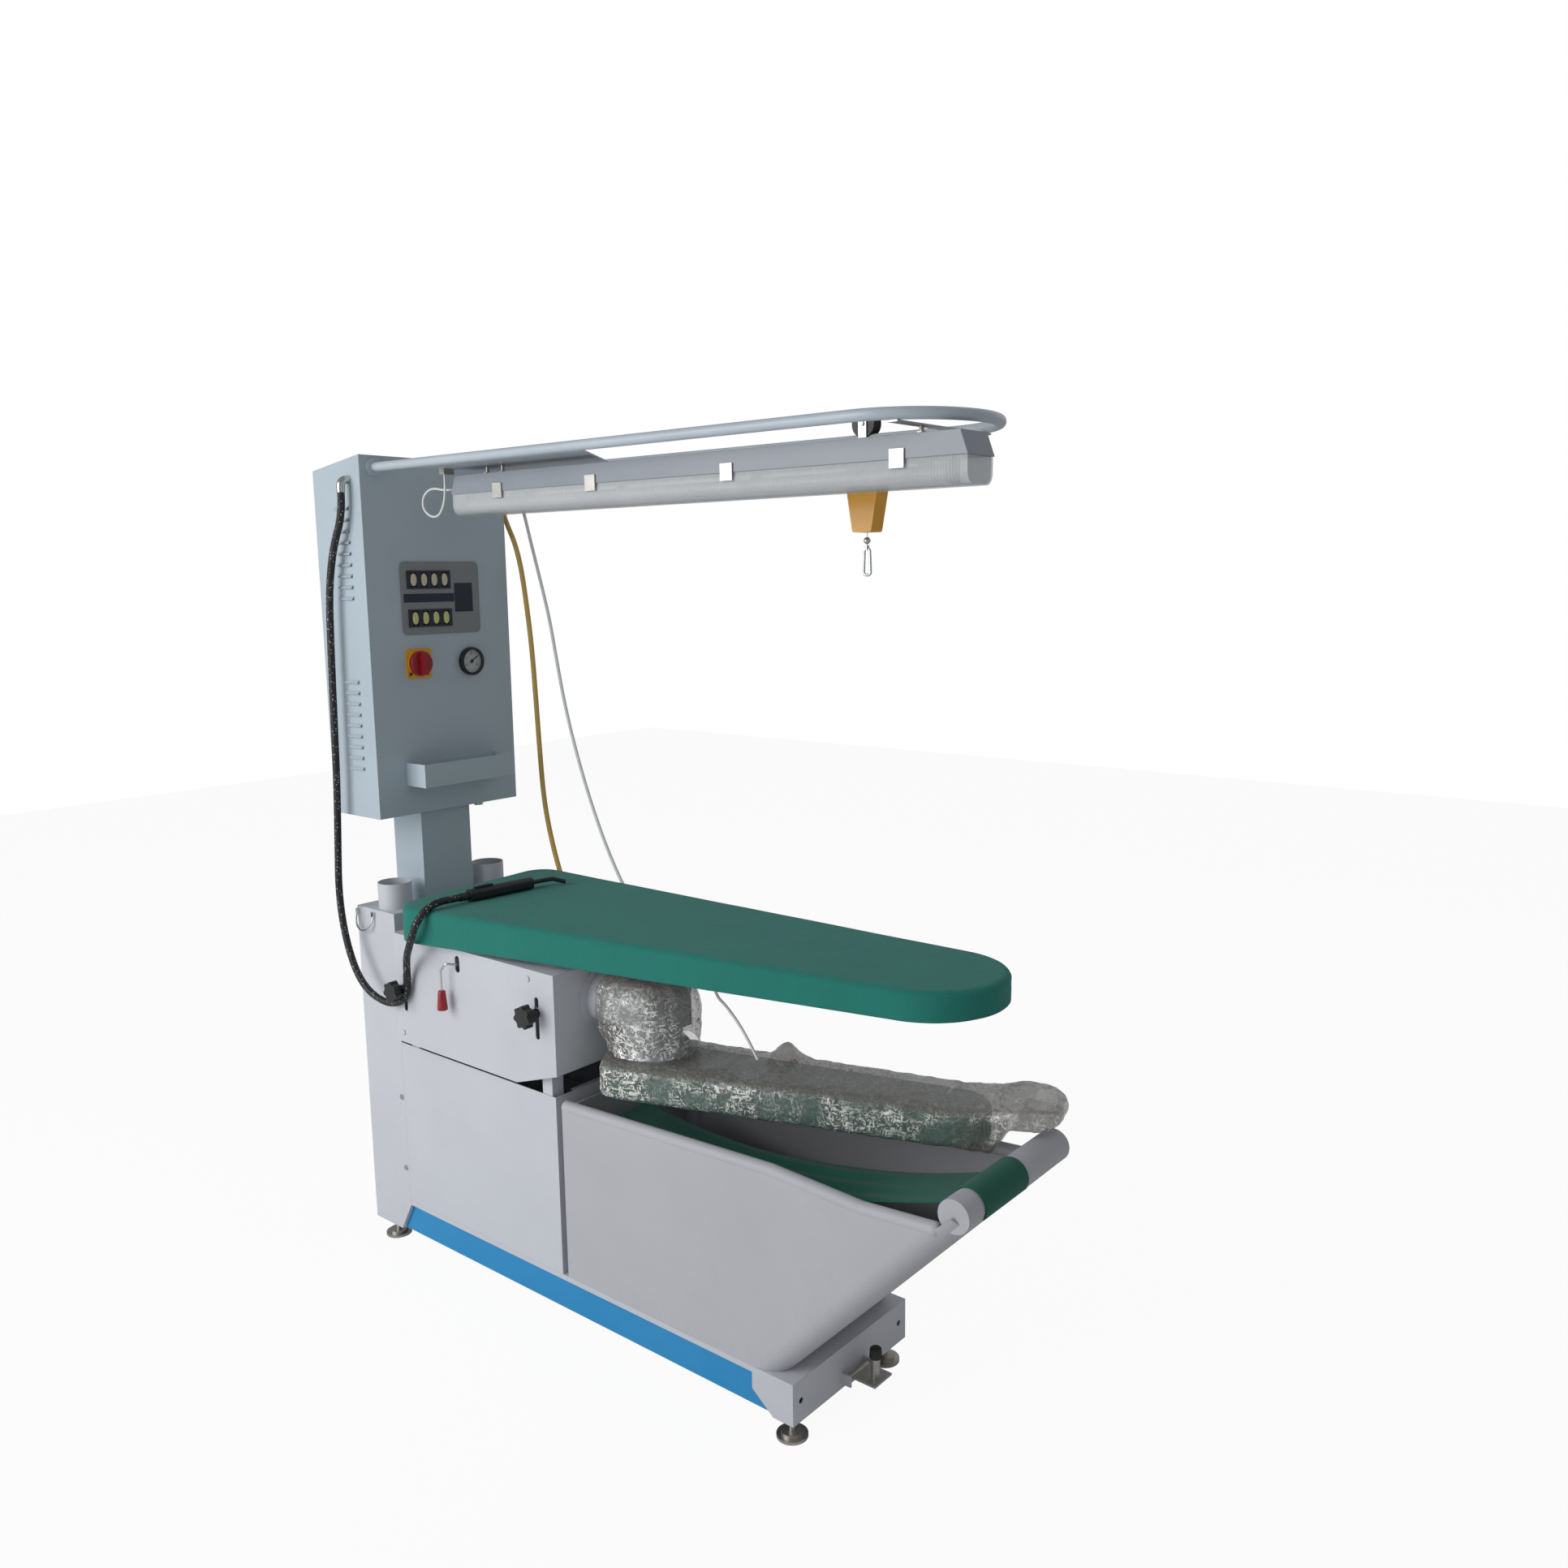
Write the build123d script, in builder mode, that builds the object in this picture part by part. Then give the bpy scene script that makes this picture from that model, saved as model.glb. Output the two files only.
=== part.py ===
"""Vacuum ironing table with an overhead control box, rail, lamp and spring balancer.

All lengths are millimetres. Places are given from the machine's own corner: X from the rear
wall of the rear post towards the nose, Y from the middle plane (the operator stands at minus
Y) and Z from the floor. The sketch planes below carry them over to the part's origin.
"""

from build123d import *
from math import asin, atan2, cos, hypot, radians, sin, sqrt, tan
import os

# Where the part's origin lies: below the middle of the machine's box
ORIGIN_X = 808
ORIGIN_Y = -3

# Sheet metal, tube walls and clearances
SHEET = 2
TUBE_WALL = 3
RUNNING_FIT = 0.06
SLIDING_GAP = 0.5
FACE_GAP = 0.3

# Base and lower cabinet
HALF_WIDTH = 182
BASE_BOTTOM = 45
SILL_TOP = 117
SILL_WIDTH = 40
KICK_RECESS = 10
BASE_TOP = 129
BEAM_FRONT = 1303.5
BEAM_LENGTH = 97.5
BEAM_HEEL = 50
BEAM_CHEEK = 84
CROSS_MEMBERS = (200, 640, 1130)
CROSS_WIDTH = 40
DECK_THICKNESS = 3
CABINET_FRONT = 683
CABINET_TOP = 520
UPRIGHT_SIDE = 30
ANCHOR_SPACING = 316
ANCHOR_HOLE = 12
ANCHOR_HEIGHT = 87

# Rear post with its exhaust stubs and the column that carries the box
POST_DEPTH = 146
POST_TOP = 825
POST_TOE = 104
POST_SHEET = 2.5
PIPE_X = 85
PIPE_SPREAD = 268
PIPE_RADIUS = 38.5
PIPE_TOP = 885
COLUMN_DEPTH = 110
COLUMN_HALF = 69

# Levelling feet
FOOT_X = (40, 1275)
FOOT_SPREAD = 300
FOOT_RADIUS = 30
FOOT_PLATE = 12
FOOT_STEM = 6

# Catch basin and its cloth
BASIN_REAR = 700
BASIN_TOE = 1268
BASIN_WALL = 5
RIM_RADIUS = 13
RIM_LINE = ((700, 515), (1250, 536), (1450, 526), (1596, 536))
ROLL_X = 1632
ROLL_Z = 556
ROLL_RADIUS = 30
ROLL_HALF = 172
CORNER_ROUND = 42
CLOTH_ROD = (745, 452)
CLOTH_ROD_RADIUS = 6
CLOTH_NEAR = -124
CLOTH_FAR = 18
CLOTH_THICKNESS = 2.5

# Control box on the column
BOX_REAR = -45
BOX_FRONT = 135
BOX_HALF = 194
BOX_BOTTOM = 1045
BOX_TOP_FRONT = 1847.5
BOX_TOP_REAR = 1822
LOUVRE_X = (35, 86)
LOUVRE_STARTS = (1154, 1536)
LOUVRE_COUNT = 9
LOUVRE_PITCH = 24.5
LOUVRE_SLOT = 5

# Key panel and rockers
PANEL_Y = (-107, 108)
PANEL_Z = (1455, 1619)
PANEL_ROUND = 12
WINDOW_Y = (-89, 25)
WINDOW_ROWS = ((1560, 1597), (1474, 1510))
FRAME_DEPTH = 16
FRAME_LIP = 2
ROCKER_PITCH = 28
ROCKERS_PER_ROW = 4
ROCKER_WIDTH = 14.6
ROCKER_HEIGHT = 28
ROCKER_DEPTH = 17
ROCKER_PROUD = 3
ROCKER_PIN = 1.5
POCKET_MARGIN = 1.7
DARK_BAR = ((-101, 36), (1528, 1547))
DARK_SQUARE = ((38, 88), (1504, 1570))
DISPLAY_PROUD = 0.8

# Main switch and gauge
SWITCH_Y = -70
SWITCH_Z = 1390
SWITCH_PLATE = 67
SWITCH_PLATE_THICKNESS = 3
SWITCH_COLLAR = 30
KNOB_RADIUS = 28.5
KNOB_FRONT = 165
SWITCH_SHAFT = 4
GAUGE_Y = 75
GAUGE_Z = 1387
GAUGE_FLANGE = 33
GAUGE_BODY = 28
GAUGE_PROUD = 12
GAUGE_DEPTH = 27
NEEDLE_LENGTH = 22
NEEDLE_ANGLE = 35

# Tool tray
TRAY_DEPTH = 70
TRAY_Y = (-118, 135)
TRAY_Z = (1113, 1166)

# Rail and lamp
RAIL_RADIUS = 10
RAIL_WALL = 2
RAIL_HALF = 157
RAIL_Z = 1822
RAIL_NOSE = 1575
GUSSET_X = (300, 580, 800)
GUSSET_THICKNESS = 3
STRAP_X = 1490
STRAP_WIDTH = 20
LAMP_X = (325, 1600)
LAMP_Y = (-98, -18)
LAMP_TOP = 1795
LAMP_PARTING = LAMP_TOP - 38
DIFFUSER_BOTTOM = LAMP_PARTING - 45
LAMP_END_TAPER = 14
TUBE_RADIUS = 13
TUBE_X = (343, 1543)
TUBE_Z = LAMP_PARTING - 23
CLIP_PLACES = (480, 760, 1110, 1470)

# Trolley and balancer on the far leg of the rail
TROLLEY_X = 1229
WHEEL_TREAD = 18
WHEEL_FLANGE = 25
WHEEL_WIDTH = 23
WHEEL_AXLE = 4
STRAP_HALF = 9
STRAP_SHEET = 2
BALANCER_TOP = RAIL_Z - 42
BALANCER_BOTTOM = BALANCER_TOP - 125
BALANCER_THICKNESS = 36
DRUM_RADIUS = 14
DRUM_HEIGHT = BALANCER_TOP - 42
CABLE_RADIUS = 1.25
STOP_RADIUS = 6.5
HOOK_WIRE = 2.5
HOOK_BOTTOM = BALANCER_BOTTOM - 81

# Ironing head
HOOD_X = (165, 710)
HOOD_HALF = 200
HOOD_TOP = 790
HOOD_SIDE_BOTTOM = 535
HOOD_FRONT_BOTTOM = 577
HOOD_TOE = 582
STUD_PLACES = ((200, 665), (656, 702))
SLOT_SPANS = ((612, 700), (645, 735))
SLOT_WIDTH = 12
STUD_RADIUS = 5
LEVER_X = 398
LEVER_SLOT = (739, 776)
LEVER_SLOT_WIDTH = 15
LEVER_PIVOT = (-150, 757)
LEVER_PIN = 4
WIRE_RADIUS = 2.5
GRIP_RADIUS = 11
KNOB_HUB = 10
KNOB_STAR = 22
KNOB_LOBES = 7
KNOB_STAR_BACK = -222
KNOB_THICKNESS = 19

# Board, turned a little towards the far side as in the photograph
BOARD_X = 215
BOARD_Y = -20
BOARD_TURN = 4.25
BOARD_LENGTH = 1365
BOARD_HALF_REAR = 232
BOARD_HALF_FRONT = 142
BOARD_NOSE = 130
BOARD_CORNER = 60
BOARD_TOP = 875
BOARD_EDGE_ROUND = 15
BOARD_UNDERSIDE = ((190, 794), (1600, 821))
COVER_PAD = 20
COVER_SIDE = 12
NECK_X = 398
NECK_RADIUS = 62
NECK_BOTTOM = 560

# Sleeve arm that swivels on the elbow duct
PIVOT_X = 860
PIVOT_Y = -60
ELBOW_Z = 715
ELBOW_RADIUS = 55
ELBOW_BEND = 75
ELBOW_START = 510
COLLAR_TOP = 640
ARM_TURN = 16.5
ARM_REAR = 90
ARM_NOSE = 690
ARM_HALF_REAR = 98
ARM_HALF_FRONT = 72
ARM_BOTTOM = 552
ARM_TOP = 612
ARM_PAD = 8
FILM_BOTTOM = 547
FILM_TOP = 630
FILM_LOOSE_END = 830

# Vacuum unit
SCROLL_RADIUS = 150
SCROLL_Z = (275, 375)
SCROLL_PORT_Y = (25, 145)
SOCKET_TOP = 640
MOTOR_RADIUS = 75
MOTOR_FINS = 16
SHAFT_RADIUS = 9.5
IMPELLER_RADIUS = 120
IMPELLER_BLADES = 12

# Hoses and leads, as points chosen along the routes that the photograph shows
GUN_HOSE = 16
GUN_HOSE_ROUTE = (
    (92, -214, 1768), (92, -214, 1722), (53, -217, 1652), (29, -219, 1560), (23, -220, 1440),
    (18, -221, 1290), (14, -222, 1130), (1, -222, 980), (-10, -222, 860), (8, -224, 760),
    (50, -227, 680), (98, -226, 642), (148, -220, 627), (182, -214, 629), (212, -212, 644),
    (228, -212, 669), (233, -215, 703), (248, -225, 737), (272, -239, 765), (300, -251, 791),
    (323, -259, 820), (338, -257, 850),
    (346, -241, 875), (351, -214, 889), (352.6, -183, 890), (352, -151.5, 888.3),
)
YELLOW_HOSE = 12
YELLOW_HOSE_ROUTE = (
    (98, 222, 1776), (98, 222, 1738), (113, 222, 1706), (137, 222, 1666), (157, 222, 1606), (171, 222, 1520),
    (183, 223, 1415), (189, 224, 1290), (193, 226, 1160), (198, 228, 1045), (214, 230, 955),
    (240, 231, 870), (275, 228, 802), (275, 228, 748),
)
WHITE_CABLE = 8
WHITE_CABLE_ROUTE = (
    (112, 216, 1788), (112, 238, 1788), (113, 257, 1777), (116, 267, 1755), (128, 266, 1722), (160, 254, 1662),
    (200, 241, 1585), (240, 233, 1485), (267, 228, 1380), (290, 227, 1280), (319, 228, 1180),
    (354, 228, 1085), (391, 228, 1000), (431, 229, 920), (474, 230, 852), (520, 228, 800),
    (520, 228, 748),
)
LAMP_LEAD = 5
LAMP_LEAD_ROUTE = (
    (304, -97, 1800), (304, -97, 1769), (296, -96, 1738), (273, -94, 1713), (240, -92, 1713),
    (209, -89, 1733), (211, -87, 1761), (241, -85, 1776), (282, -84, 1768), (315, -84, 1768),
)

os.makedirs("parts", exist_ok=True)


def plan(height):
    """Sketch plane seen from above: local x is X, local y is Y."""
    return Plane(origin=(-ORIGIN_X, -ORIGIN_Y, height))


def side(across):
    """Sketch plane seen by the operator: local x is X, local y is Z, extruding to minus Y."""
    return Plane(origin=(-ORIGIN_X, across - ORIGIN_Y, 0), x_dir=(1, 0, 0), z_dir=(0, -1, 0))


def front(along):
    """Sketch plane seen from the nose: local x is Y, local y is Z, extruding to plus X."""
    return Plane(origin=(along - ORIGIN_X, -ORIGIN_Y, 0), x_dir=(0, 1, 0), z_dir=(1, 0, 0))


def at(x, y, z):
    """A machine place in the part's own frame."""
    return Vector(x - ORIGIN_X, y - ORIGIN_Y, z)


def turned(x, y, height, angle):
    """Sketch plane seen from above whose local x runs along a turned board."""
    return Plane(
        origin=at(x, y, height),
        x_dir=(cos(radians(angle)), sin(radians(angle)), 0),
        z_dir=(0, 0, 1),
    )


def slab(x, y, z, mode=Mode.ADD):
    """Add or cut a block between two places along each axis."""
    with BuildSketch(plan(z[0])) as base:
        with Locations(((x[0] + x[1]) / 2, (y[0] + y[1]) / 2)):
            Rectangle(x[1] - x[0], y[1] - y[0])
    extrude(base.sketch, amount=z[1] - z[0], mode=mode)


def disc(plane, centre, radius, length, mode=Mode.ADD):
    """Add or cut a round bar that starts on the plane."""
    with BuildSketch(plane) as base:
        with Locations(centre):
            Circle(radius)
    extrude(base.sketch, amount=length, mode=mode)


def ring(plane, centre, outer, inner, length):
    """Add a pipe or washer that starts on the plane."""
    with BuildSketch(plane) as base:
        with Locations(centre):
            Circle(outer)
            Circle(inner, mode=Mode.SUBTRACT)
    extrude(base.sketch, amount=length)


def hexagon(plane, centre, across_flats, length):
    """Add a hexagonal nut or bolt head that starts on the plane."""
    with BuildSketch(plane) as base:
        with Locations(centre):
            RegularPolygon(across_flats / 2, 6, major_radius=False)
    extrude(base.sketch, amount=length)


def prism(plane, points, length, mode=Mode.ADD):
    """Add or cut a bar whose section is a polygon on the plane."""
    with BuildSketch(plane) as base:
        with BuildLine():
            Polyline(*points, close=True)
        make_face()
    extrude(base.sketch, amount=length, mode=mode)


def span(sign, inner, outer):
    """The range from inner to outer on one side of the middle plane."""
    return tuple(sorted((sign * inner, sign * outer)))


def cord(points, diameter):
    """A round cord along straight runs joined by tangent arcs as large as the runs allow."""
    places = [at(*point) for point in points]
    runs = [after - before for before, after in zip(places, places[1:])]
    radii = [
        0.45 * min(first.length, second.length) / tan(radians(first.get_angle(second)) / 2)
        for first, second in zip(runs, runs[1:])
    ]
    with BuildPart() as tube:
        with BuildLine() as route:
            FilletPolyline(*places, radius=radii)
        with BuildSketch(Plane(origin=route.line @ 0, z_dir=route.line % 0)) as section:
            Circle(diameter / 2)
        sweep()
    length = route.wires()[0].length
    expected = section.sketch.area * length
    print("radii", [round(radius) for radius in radii], "length", round(length))
    print("volume against section times length", round(tube.part.volume / expected, 4))
    return tube


# Base frame: sills, ledges, cross members, deck, front beam, uprights and height studs
SILL_OUT = HALF_WIDTH - KICK_RECESS - SHEET
SILL_IN = SILL_OUT - SILL_WIDTH
BEAM_REAR = BEAM_FRONT - BEAM_LENGTH
BEAM_SOLE = BEAM_REAR + BEAM_HEEL
UPRIGHT_IN = HALF_WIDTH - SHEET - UPRIGHT_SIDE
STUD_FACE = HOOD_HALF - SHEET - FACE_GAP
beam_outline = (
    (BEAM_REAR, BASE_TOP), (BEAM_REAR, BEAM_CHEEK), (BEAM_SOLE, BASE_BOTTOM),
    (BEAM_FRONT, BASE_BOTTOM), (BEAM_FRONT, BASE_TOP),
)

with BuildPart() as base_frame:
    with BuildSketch(side(HALF_WIDTH)):
        with BuildLine():
            Polyline(*beam_outline, close=True)
        make_face()
    extrude(amount=2 * HALF_WIDTH)
    with BuildSketch(side(HALF_WIDTH - TUBE_WALL)):
        with BuildLine():
            Polyline(*beam_outline, close=True)
        make_face()
        offset(amount=-TUBE_WALL, kind=Kind.INTERSECTION)
    extrude(amount=2 * (HALF_WIDTH - TUBE_WALL), mode=Mode.SUBTRACT)
    slab((BEAM_SOLE + 10, BEAM_FRONT - 12), (-100, 100), (BASE_BOTTOM, BASE_BOTTOM + TUBE_WALL),
         Mode.SUBTRACT)
    for sign in (-1, 1):
        slab((POST_DEPTH, BEAM_REAR), span(sign, SILL_IN, SILL_OUT), (BASE_BOTTOM, SILL_TOP))
        slab(
            (POST_DEPTH, BEAM_REAR),
            span(sign, SILL_IN + TUBE_WALL, SILL_OUT - TUBE_WALL),
            (BASE_BOTTOM + TUBE_WALL, SILL_TOP - TUBE_WALL),
            Mode.SUBTRACT,
        )
        slab((POST_DEPTH, BEAM_REAR), span(sign, SILL_IN, HALF_WIDTH), (SILL_TOP, BASE_TOP))
        slab(
            (POST_DEPTH, BEAM_REAR),
            span(sign, SILL_IN + SHEET, HALF_WIDTH - SHEET),
            (SILL_TOP + SHEET, BASE_TOP - SHEET),
            Mode.SUBTRACT,
        )
    for centre in CROSS_MEMBERS:
        half = CROSS_WIDTH / 2
        slab((centre - half, centre + half), (-SILL_IN, SILL_IN), (SILL_TOP - CROSS_WIDTH, SILL_TOP))
        slab(
            (centre - half + TUBE_WALL, centre + half - TUBE_WALL),
            (-SILL_IN, SILL_IN),
            (SILL_TOP - CROSS_WIDTH, SILL_TOP - TUBE_WALL),
            Mode.SUBTRACT,
        )
    slab((POST_DEPTH, CABINET_FRONT), (-SILL_IN, SILL_IN), (SILL_TOP, SILL_TOP + DECK_THICKNESS))
    for stud_x, stud_z in STUD_PLACES:
        half = UPRIGHT_SIDE / 2
        for sign in (-1, 1):
            slab(
                (stud_x - half, stud_x + half),
                span(sign, UPRIGHT_IN, HALF_WIDTH - SHEET),
                (BASE_TOP, stud_z + UPRIGHT_SIDE),
            )
            slab(
                (stud_x - half + SHEET, stud_x + half - SHEET),
                span(sign, UPRIGHT_IN + SHEET, HALF_WIDTH - 2 * SHEET),
                (BASE_TOP, stud_z + UPRIGHT_SIDE),
                Mode.SUBTRACT,
            )
            plane = side(sign * (HALF_WIDTH - SHEET))
            outward = -sign
            disc(plane, (stud_x, stud_z), 2 * STUD_RADIUS, outward * (STUD_FACE - HALF_WIDTH + SHEET))
            disc(plane, (stud_x, stud_z), STUD_RADIUS,
                 outward * (HOOD_HALF + 2 * STUD_RADIUS - HALF_WIDTH + SHEET))
        near_stud = side(-HOOD_HALF)
        disc(near_stud, (stud_x, stud_z), STUD_RADIUS, -KNOB_STAR_BACK - HOOD_HALF + KNOB_THICKNESS / 2)
        far_nut = side(HOOD_HALF + FACE_GAP + 8)
        hexagon(far_nut, (stud_x, stud_z), 17, 8)
    with BuildSketch(front(BEAM_FRONT)):
        with Locations((-ANCHOR_SPACING / 2, ANCHOR_HEIGHT), (ANCHOR_SPACING / 2, ANCHOR_HEIGHT)):
            Circle(ANCHOR_HOLE / 2)
    extrude(amount=-2 * TUBE_WALL, mode=Mode.SUBTRACT)
    for pedal_side in (-34, 38):
        slab((BEAM_FRONT, BEAM_FRONT + 22), (pedal_side - 2, pedal_side + 2), (56, 78))
    disc(side(40), (BEAM_FRONT + 13, 67), 4, 76)
base_frame.part.label = "base_frame"
export_step(base_frame.part, "parts/base_frame.step")

# Rear post: folded sheet box with a cut toe, exhaust port and two exhaust stubs
post_outline = (
    (0, BASE_BOTTOM), (POST_TOE, BASE_BOTTOM), (POST_DEPTH, SILL_TOP), (POST_DEPTH, POST_TOP), (0, POST_TOP),
)
with BuildPart() as rear_post:
    prism(side(HALF_WIDTH), post_outline, 2 * HALF_WIDTH)
    with BuildSketch(side(HALF_WIDTH - POST_SHEET)):
        with BuildLine():
            Polyline(*post_outline, close=True)
        make_face()
        offset(amount=-POST_SHEET, kind=Kind.INTERSECTION)
    extrude(amount=2 * (HALF_WIDTH - POST_SHEET), mode=Mode.SUBTRACT)
    slab((25, 95), (-110, 110), (BASE_BOTTOM, BASE_BOTTOM + POST_SHEET), Mode.SUBTRACT)
    port_y = (SCROLL_PORT_Y[0] + SHEET, SCROLL_PORT_Y[1] - SHEET)
    port_z = (SCROLL_Z[0] + SHEET, SCROLL_Z[1] - SHEET)
    slab((POST_DEPTH - POST_SHEET, POST_DEPTH), port_y, port_z, Mode.SUBTRACT)
    for sign in (-1, 1):
        stub = (PIPE_X, sign * PIPE_SPREAD / 2)
        disc(plan(POST_TOP - POST_SHEET), stub, PIPE_RADIUS, PIPE_TOP - POST_TOP + POST_SHEET)
        disc(plan(POST_TOP - POST_SHEET), stub, PIPE_RADIUS - SHEET,
             PIPE_TOP - POST_TOP + POST_SHEET, Mode.SUBTRACT)
rear_post.part.label = "rear_post"
export_step(rear_post.part, "parts/rear_post.step")

# Side panels, kick panels and the bulkhead that closes the lower cabinet
with BuildPart() as side_panels:
    for sign in (-1, 1):
        slab((POST_DEPTH, CABINET_FRONT), span(sign, HALF_WIDTH - SHEET, HALF_WIDTH),
             (BASE_TOP, CABINET_TOP))
side_panels.part.label = "side_panels"
export_step(side_panels.part, "parts/side_panels.step")

kick_outline = (
    (POST_TOE, BASE_BOTTOM), (POST_DEPTH, SILL_TOP), (BEAM_REAR, SILL_TOP),
    (BEAM_REAR, BEAM_CHEEK), (BEAM_SOLE, BASE_BOTTOM),
)
with BuildPart() as kick_panels:
    for sign in (-1, 1):
        prism(side(sign * SILL_OUT), kick_outline, -sign * SHEET)
kick_panels.part.label = "kick_panels"
export_step(kick_panels.part, "parts/kick_panels.step")

with BuildPart() as cabinet_bulkhead:
    slab(
        (CABINET_FRONT - SHEET, CABINET_FRONT),
        (SHEET - HALF_WIDTH, HALF_WIDTH - SHEET),
        (BASE_TOP, CABINET_TOP),
    )
    slab((CABINET_FRONT - 14, CABINET_FRONT), (-SILL_IN, SILL_IN), (CABINET_TOP - SHEET, CABINET_TOP))
    slab((CABINET_FRONT - 14, CABINET_FRONT), (-SILL_IN, SILL_IN), (BASE_TOP, BASE_TOP + SHEET))
    for foot in (-SILL_IN + 20, SILL_IN - 20):
        slab((CABINET_FRONT - 12, CABINET_FRONT - SHEET), (foot - 10, foot + 10),
             (SILL_TOP + DECK_THICKNESS, BASE_TOP + 1))
cabinet_bulkhead.part.label = "cabinet_bulkhead"
export_step(cabinet_bulkhead.part, "parts/cabinet_bulkhead.step")

# Catch basin: moulded shell with a bead round its rim and a roll across the nose
roll_reach = hypot(ROLL_X - BASIN_TOE, ROLL_Z - BASE_TOP)
nose_slope = atan2(ROLL_Z - BASE_TOP, ROLL_X - BASIN_TOE) - asin(ROLL_RADIUS / roll_reach)
roll_touch = (ROLL_X + ROLL_RADIUS * sin(nose_slope), ROLL_Z - ROLL_RADIUS * cos(nose_slope))
bead_line = [(x, z - RIM_RADIUS) for x, z in RIM_LINE]


def basin_outline(wall):
    """Side view of the basin, moved inwards by a wall."""
    rise = wall / cos(nose_slope) - wall * tan(nose_slope)
    return (
        (BASIN_REAR + wall, bead_line[0][1]),
        (BASIN_REAR + wall, BASE_TOP + wall),
        (BASIN_TOE - rise * cos(nose_slope), BASE_TOP + wall),
        (roll_touch[0] - wall * sin(nose_slope), roll_touch[1] + wall * cos(nose_slope)),
        (ROLL_X - wall, ROLL_Z + wall),
        bead_line[3], bead_line[2], bead_line[1],
    )


def rim_bead(sign):
    """Add the round bead along the rim of one side wall."""
    y = sign * (HALF_WIDTH - RIM_RADIUS + 1)
    for (x, z), (next_x, next_z) in zip(bead_line, bead_line[1:]):
        run = hypot(next_x - x, next_z - z)
        way = Plane(origin=at(x, y, z), z_dir=((next_x - x) / run, 0, (next_z - z) / run))
        with BuildSketch(way) as section:
            Circle(RIM_RADIUS)
        extrude(section.sketch, amount=run)
    for x, z in bead_line[1:]:
        with Locations(at(x, y, z)):
            Sphere(RIM_RADIUS)


def basin_block(wall):
    """Block of the basin's outside, moved inwards by a wall, with its front corners rounded."""
    half = HALF_WIDTH - wall
    with BuildPart(mode=Mode.PRIVATE) as block:
        prism(side(half), basin_outline(wall), 2 * half)
        nose_edges = [
            edge for edge in block.edges().filter_by(GeomType.LINE)
            if edge.center().X > BASIN_TOE - ORIGIN_X
            and abs(edge.center().Y + ORIGIN_Y) > half - 1
            and edge.length > 300 and abs((edge % 0.5).Z) > 0.5
        ]
        fillet(nose_edges, CORNER_ROUND - wall)
    return block.part


with BuildPart() as catch_basin:
    add(basin_block(0))
    add(basin_block(BASIN_WALL), mode=Mode.SUBTRACT)
    slab((BASIN_REAR + BASIN_WALL, ROLL_X - 130), (BASIN_WALL - HALF_WIDTH, HALF_WIDTH - BASIN_WALL),
         (CABINET_TOP - 60, CABINET_TOP + 60), Mode.SUBTRACT)
    for sign in (-1, 1):
        rim_bead(sign)
    disc(side(ROLL_HALF), (ROLL_X, ROLL_Z), ROLL_RADIUS, 2 * ROLL_HALF)
    disc(side(HALF_WIDTH - BASIN_WALL + 1), CLOTH_ROD, CLOTH_ROD_RADIUS,
         2 * (HALF_WIDTH - BASIN_WALL + 1))
catch_basin.part.label = "catch_basin"
export_step(catch_basin.part, "parts/catch_basin.step")

# Catch cloth: wrapped over the roll and slung back to the rod inside the basin
WRAP_GAP = 0.4
WRAP_START = -32
WRAP_SWEEP = 218
SLING_SAG = 52
wrap_in = ROLL_RADIUS + WRAP_GAP
wrap_out = wrap_in + CLOTH_THICKNESS
rod_in = CLOTH_ROD_RADIUS + WRAP_GAP
sling_from = (ROLL_X - wrap_in, ROLL_Z - 2)
sling_to = (CLOTH_ROD[0], CLOTH_ROD[1] + rod_in)
SLING_STEPS = 14
cloth_width = CLOTH_FAR - CLOTH_NEAR
with BuildPart() as catch_cloth:
    for centre, radius, start, sweep_angle in (
        ((ROLL_X, ROLL_Z), wrap_in, WRAP_START, WRAP_SWEEP), (CLOTH_ROD, rod_in, 60, 240),
    ):
        with BuildSketch(side(CLOTH_FAR)) as wrap:
            with BuildLine():
                outer = CenterArc(centre, radius + CLOTH_THICKNESS, start, sweep_angle)
                inner = CenterArc(centre, radius, start, sweep_angle)
                Line(outer @ 0, inner @ 0)
                Line(outer @ 1, inner @ 1)
            make_face()
        extrude(wrap.sketch, amount=cloth_width)
    hang = [
        (
            sling_from[0] + (sling_to[0] - sling_from[0]) * step / SLING_STEPS,
            sling_from[1] + (sling_to[1] - sling_from[1]) * step / SLING_STEPS
            - 4 * SLING_SAG * step * (SLING_STEPS - step) / SLING_STEPS**2,
        )
        for step in range(SLING_STEPS + 1)
    ]
    over = [(x, z + CLOTH_THICKNESS) for x, z in reversed(hang)]
    prism(side(CLOTH_FAR), hang + over, cloth_width)
catch_cloth.part.label = "catch_cloth"
export_step(catch_cloth.part, "parts/catch_cloth.step")

# Levelling feet under the post and the front beam
with BuildPart() as levelling_feet:
    for foot_x in FOOT_X:
        for foot_y in (-FOOT_SPREAD / 2, FOOT_SPREAD / 2):
            disc(plan(0), (foot_x, foot_y), FOOT_RADIUS, FOOT_PLATE / 2)
            disc(plan(FOOT_PLATE / 2), (foot_x, foot_y), 0.7 * FOOT_RADIUS, FOOT_PLATE / 2)
            disc(plan(FOOT_PLATE), (foot_x, foot_y), FOOT_STEM, BASE_BOTTOM - FOOT_PLATE)
            hexagon(plan(BASE_BOTTOM - 8), (foot_x, foot_y), 19, 8)
levelling_feet.part.label = "levelling_feet"
export_step(levelling_feet.part, "parts/levelling_feet.step")

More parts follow.
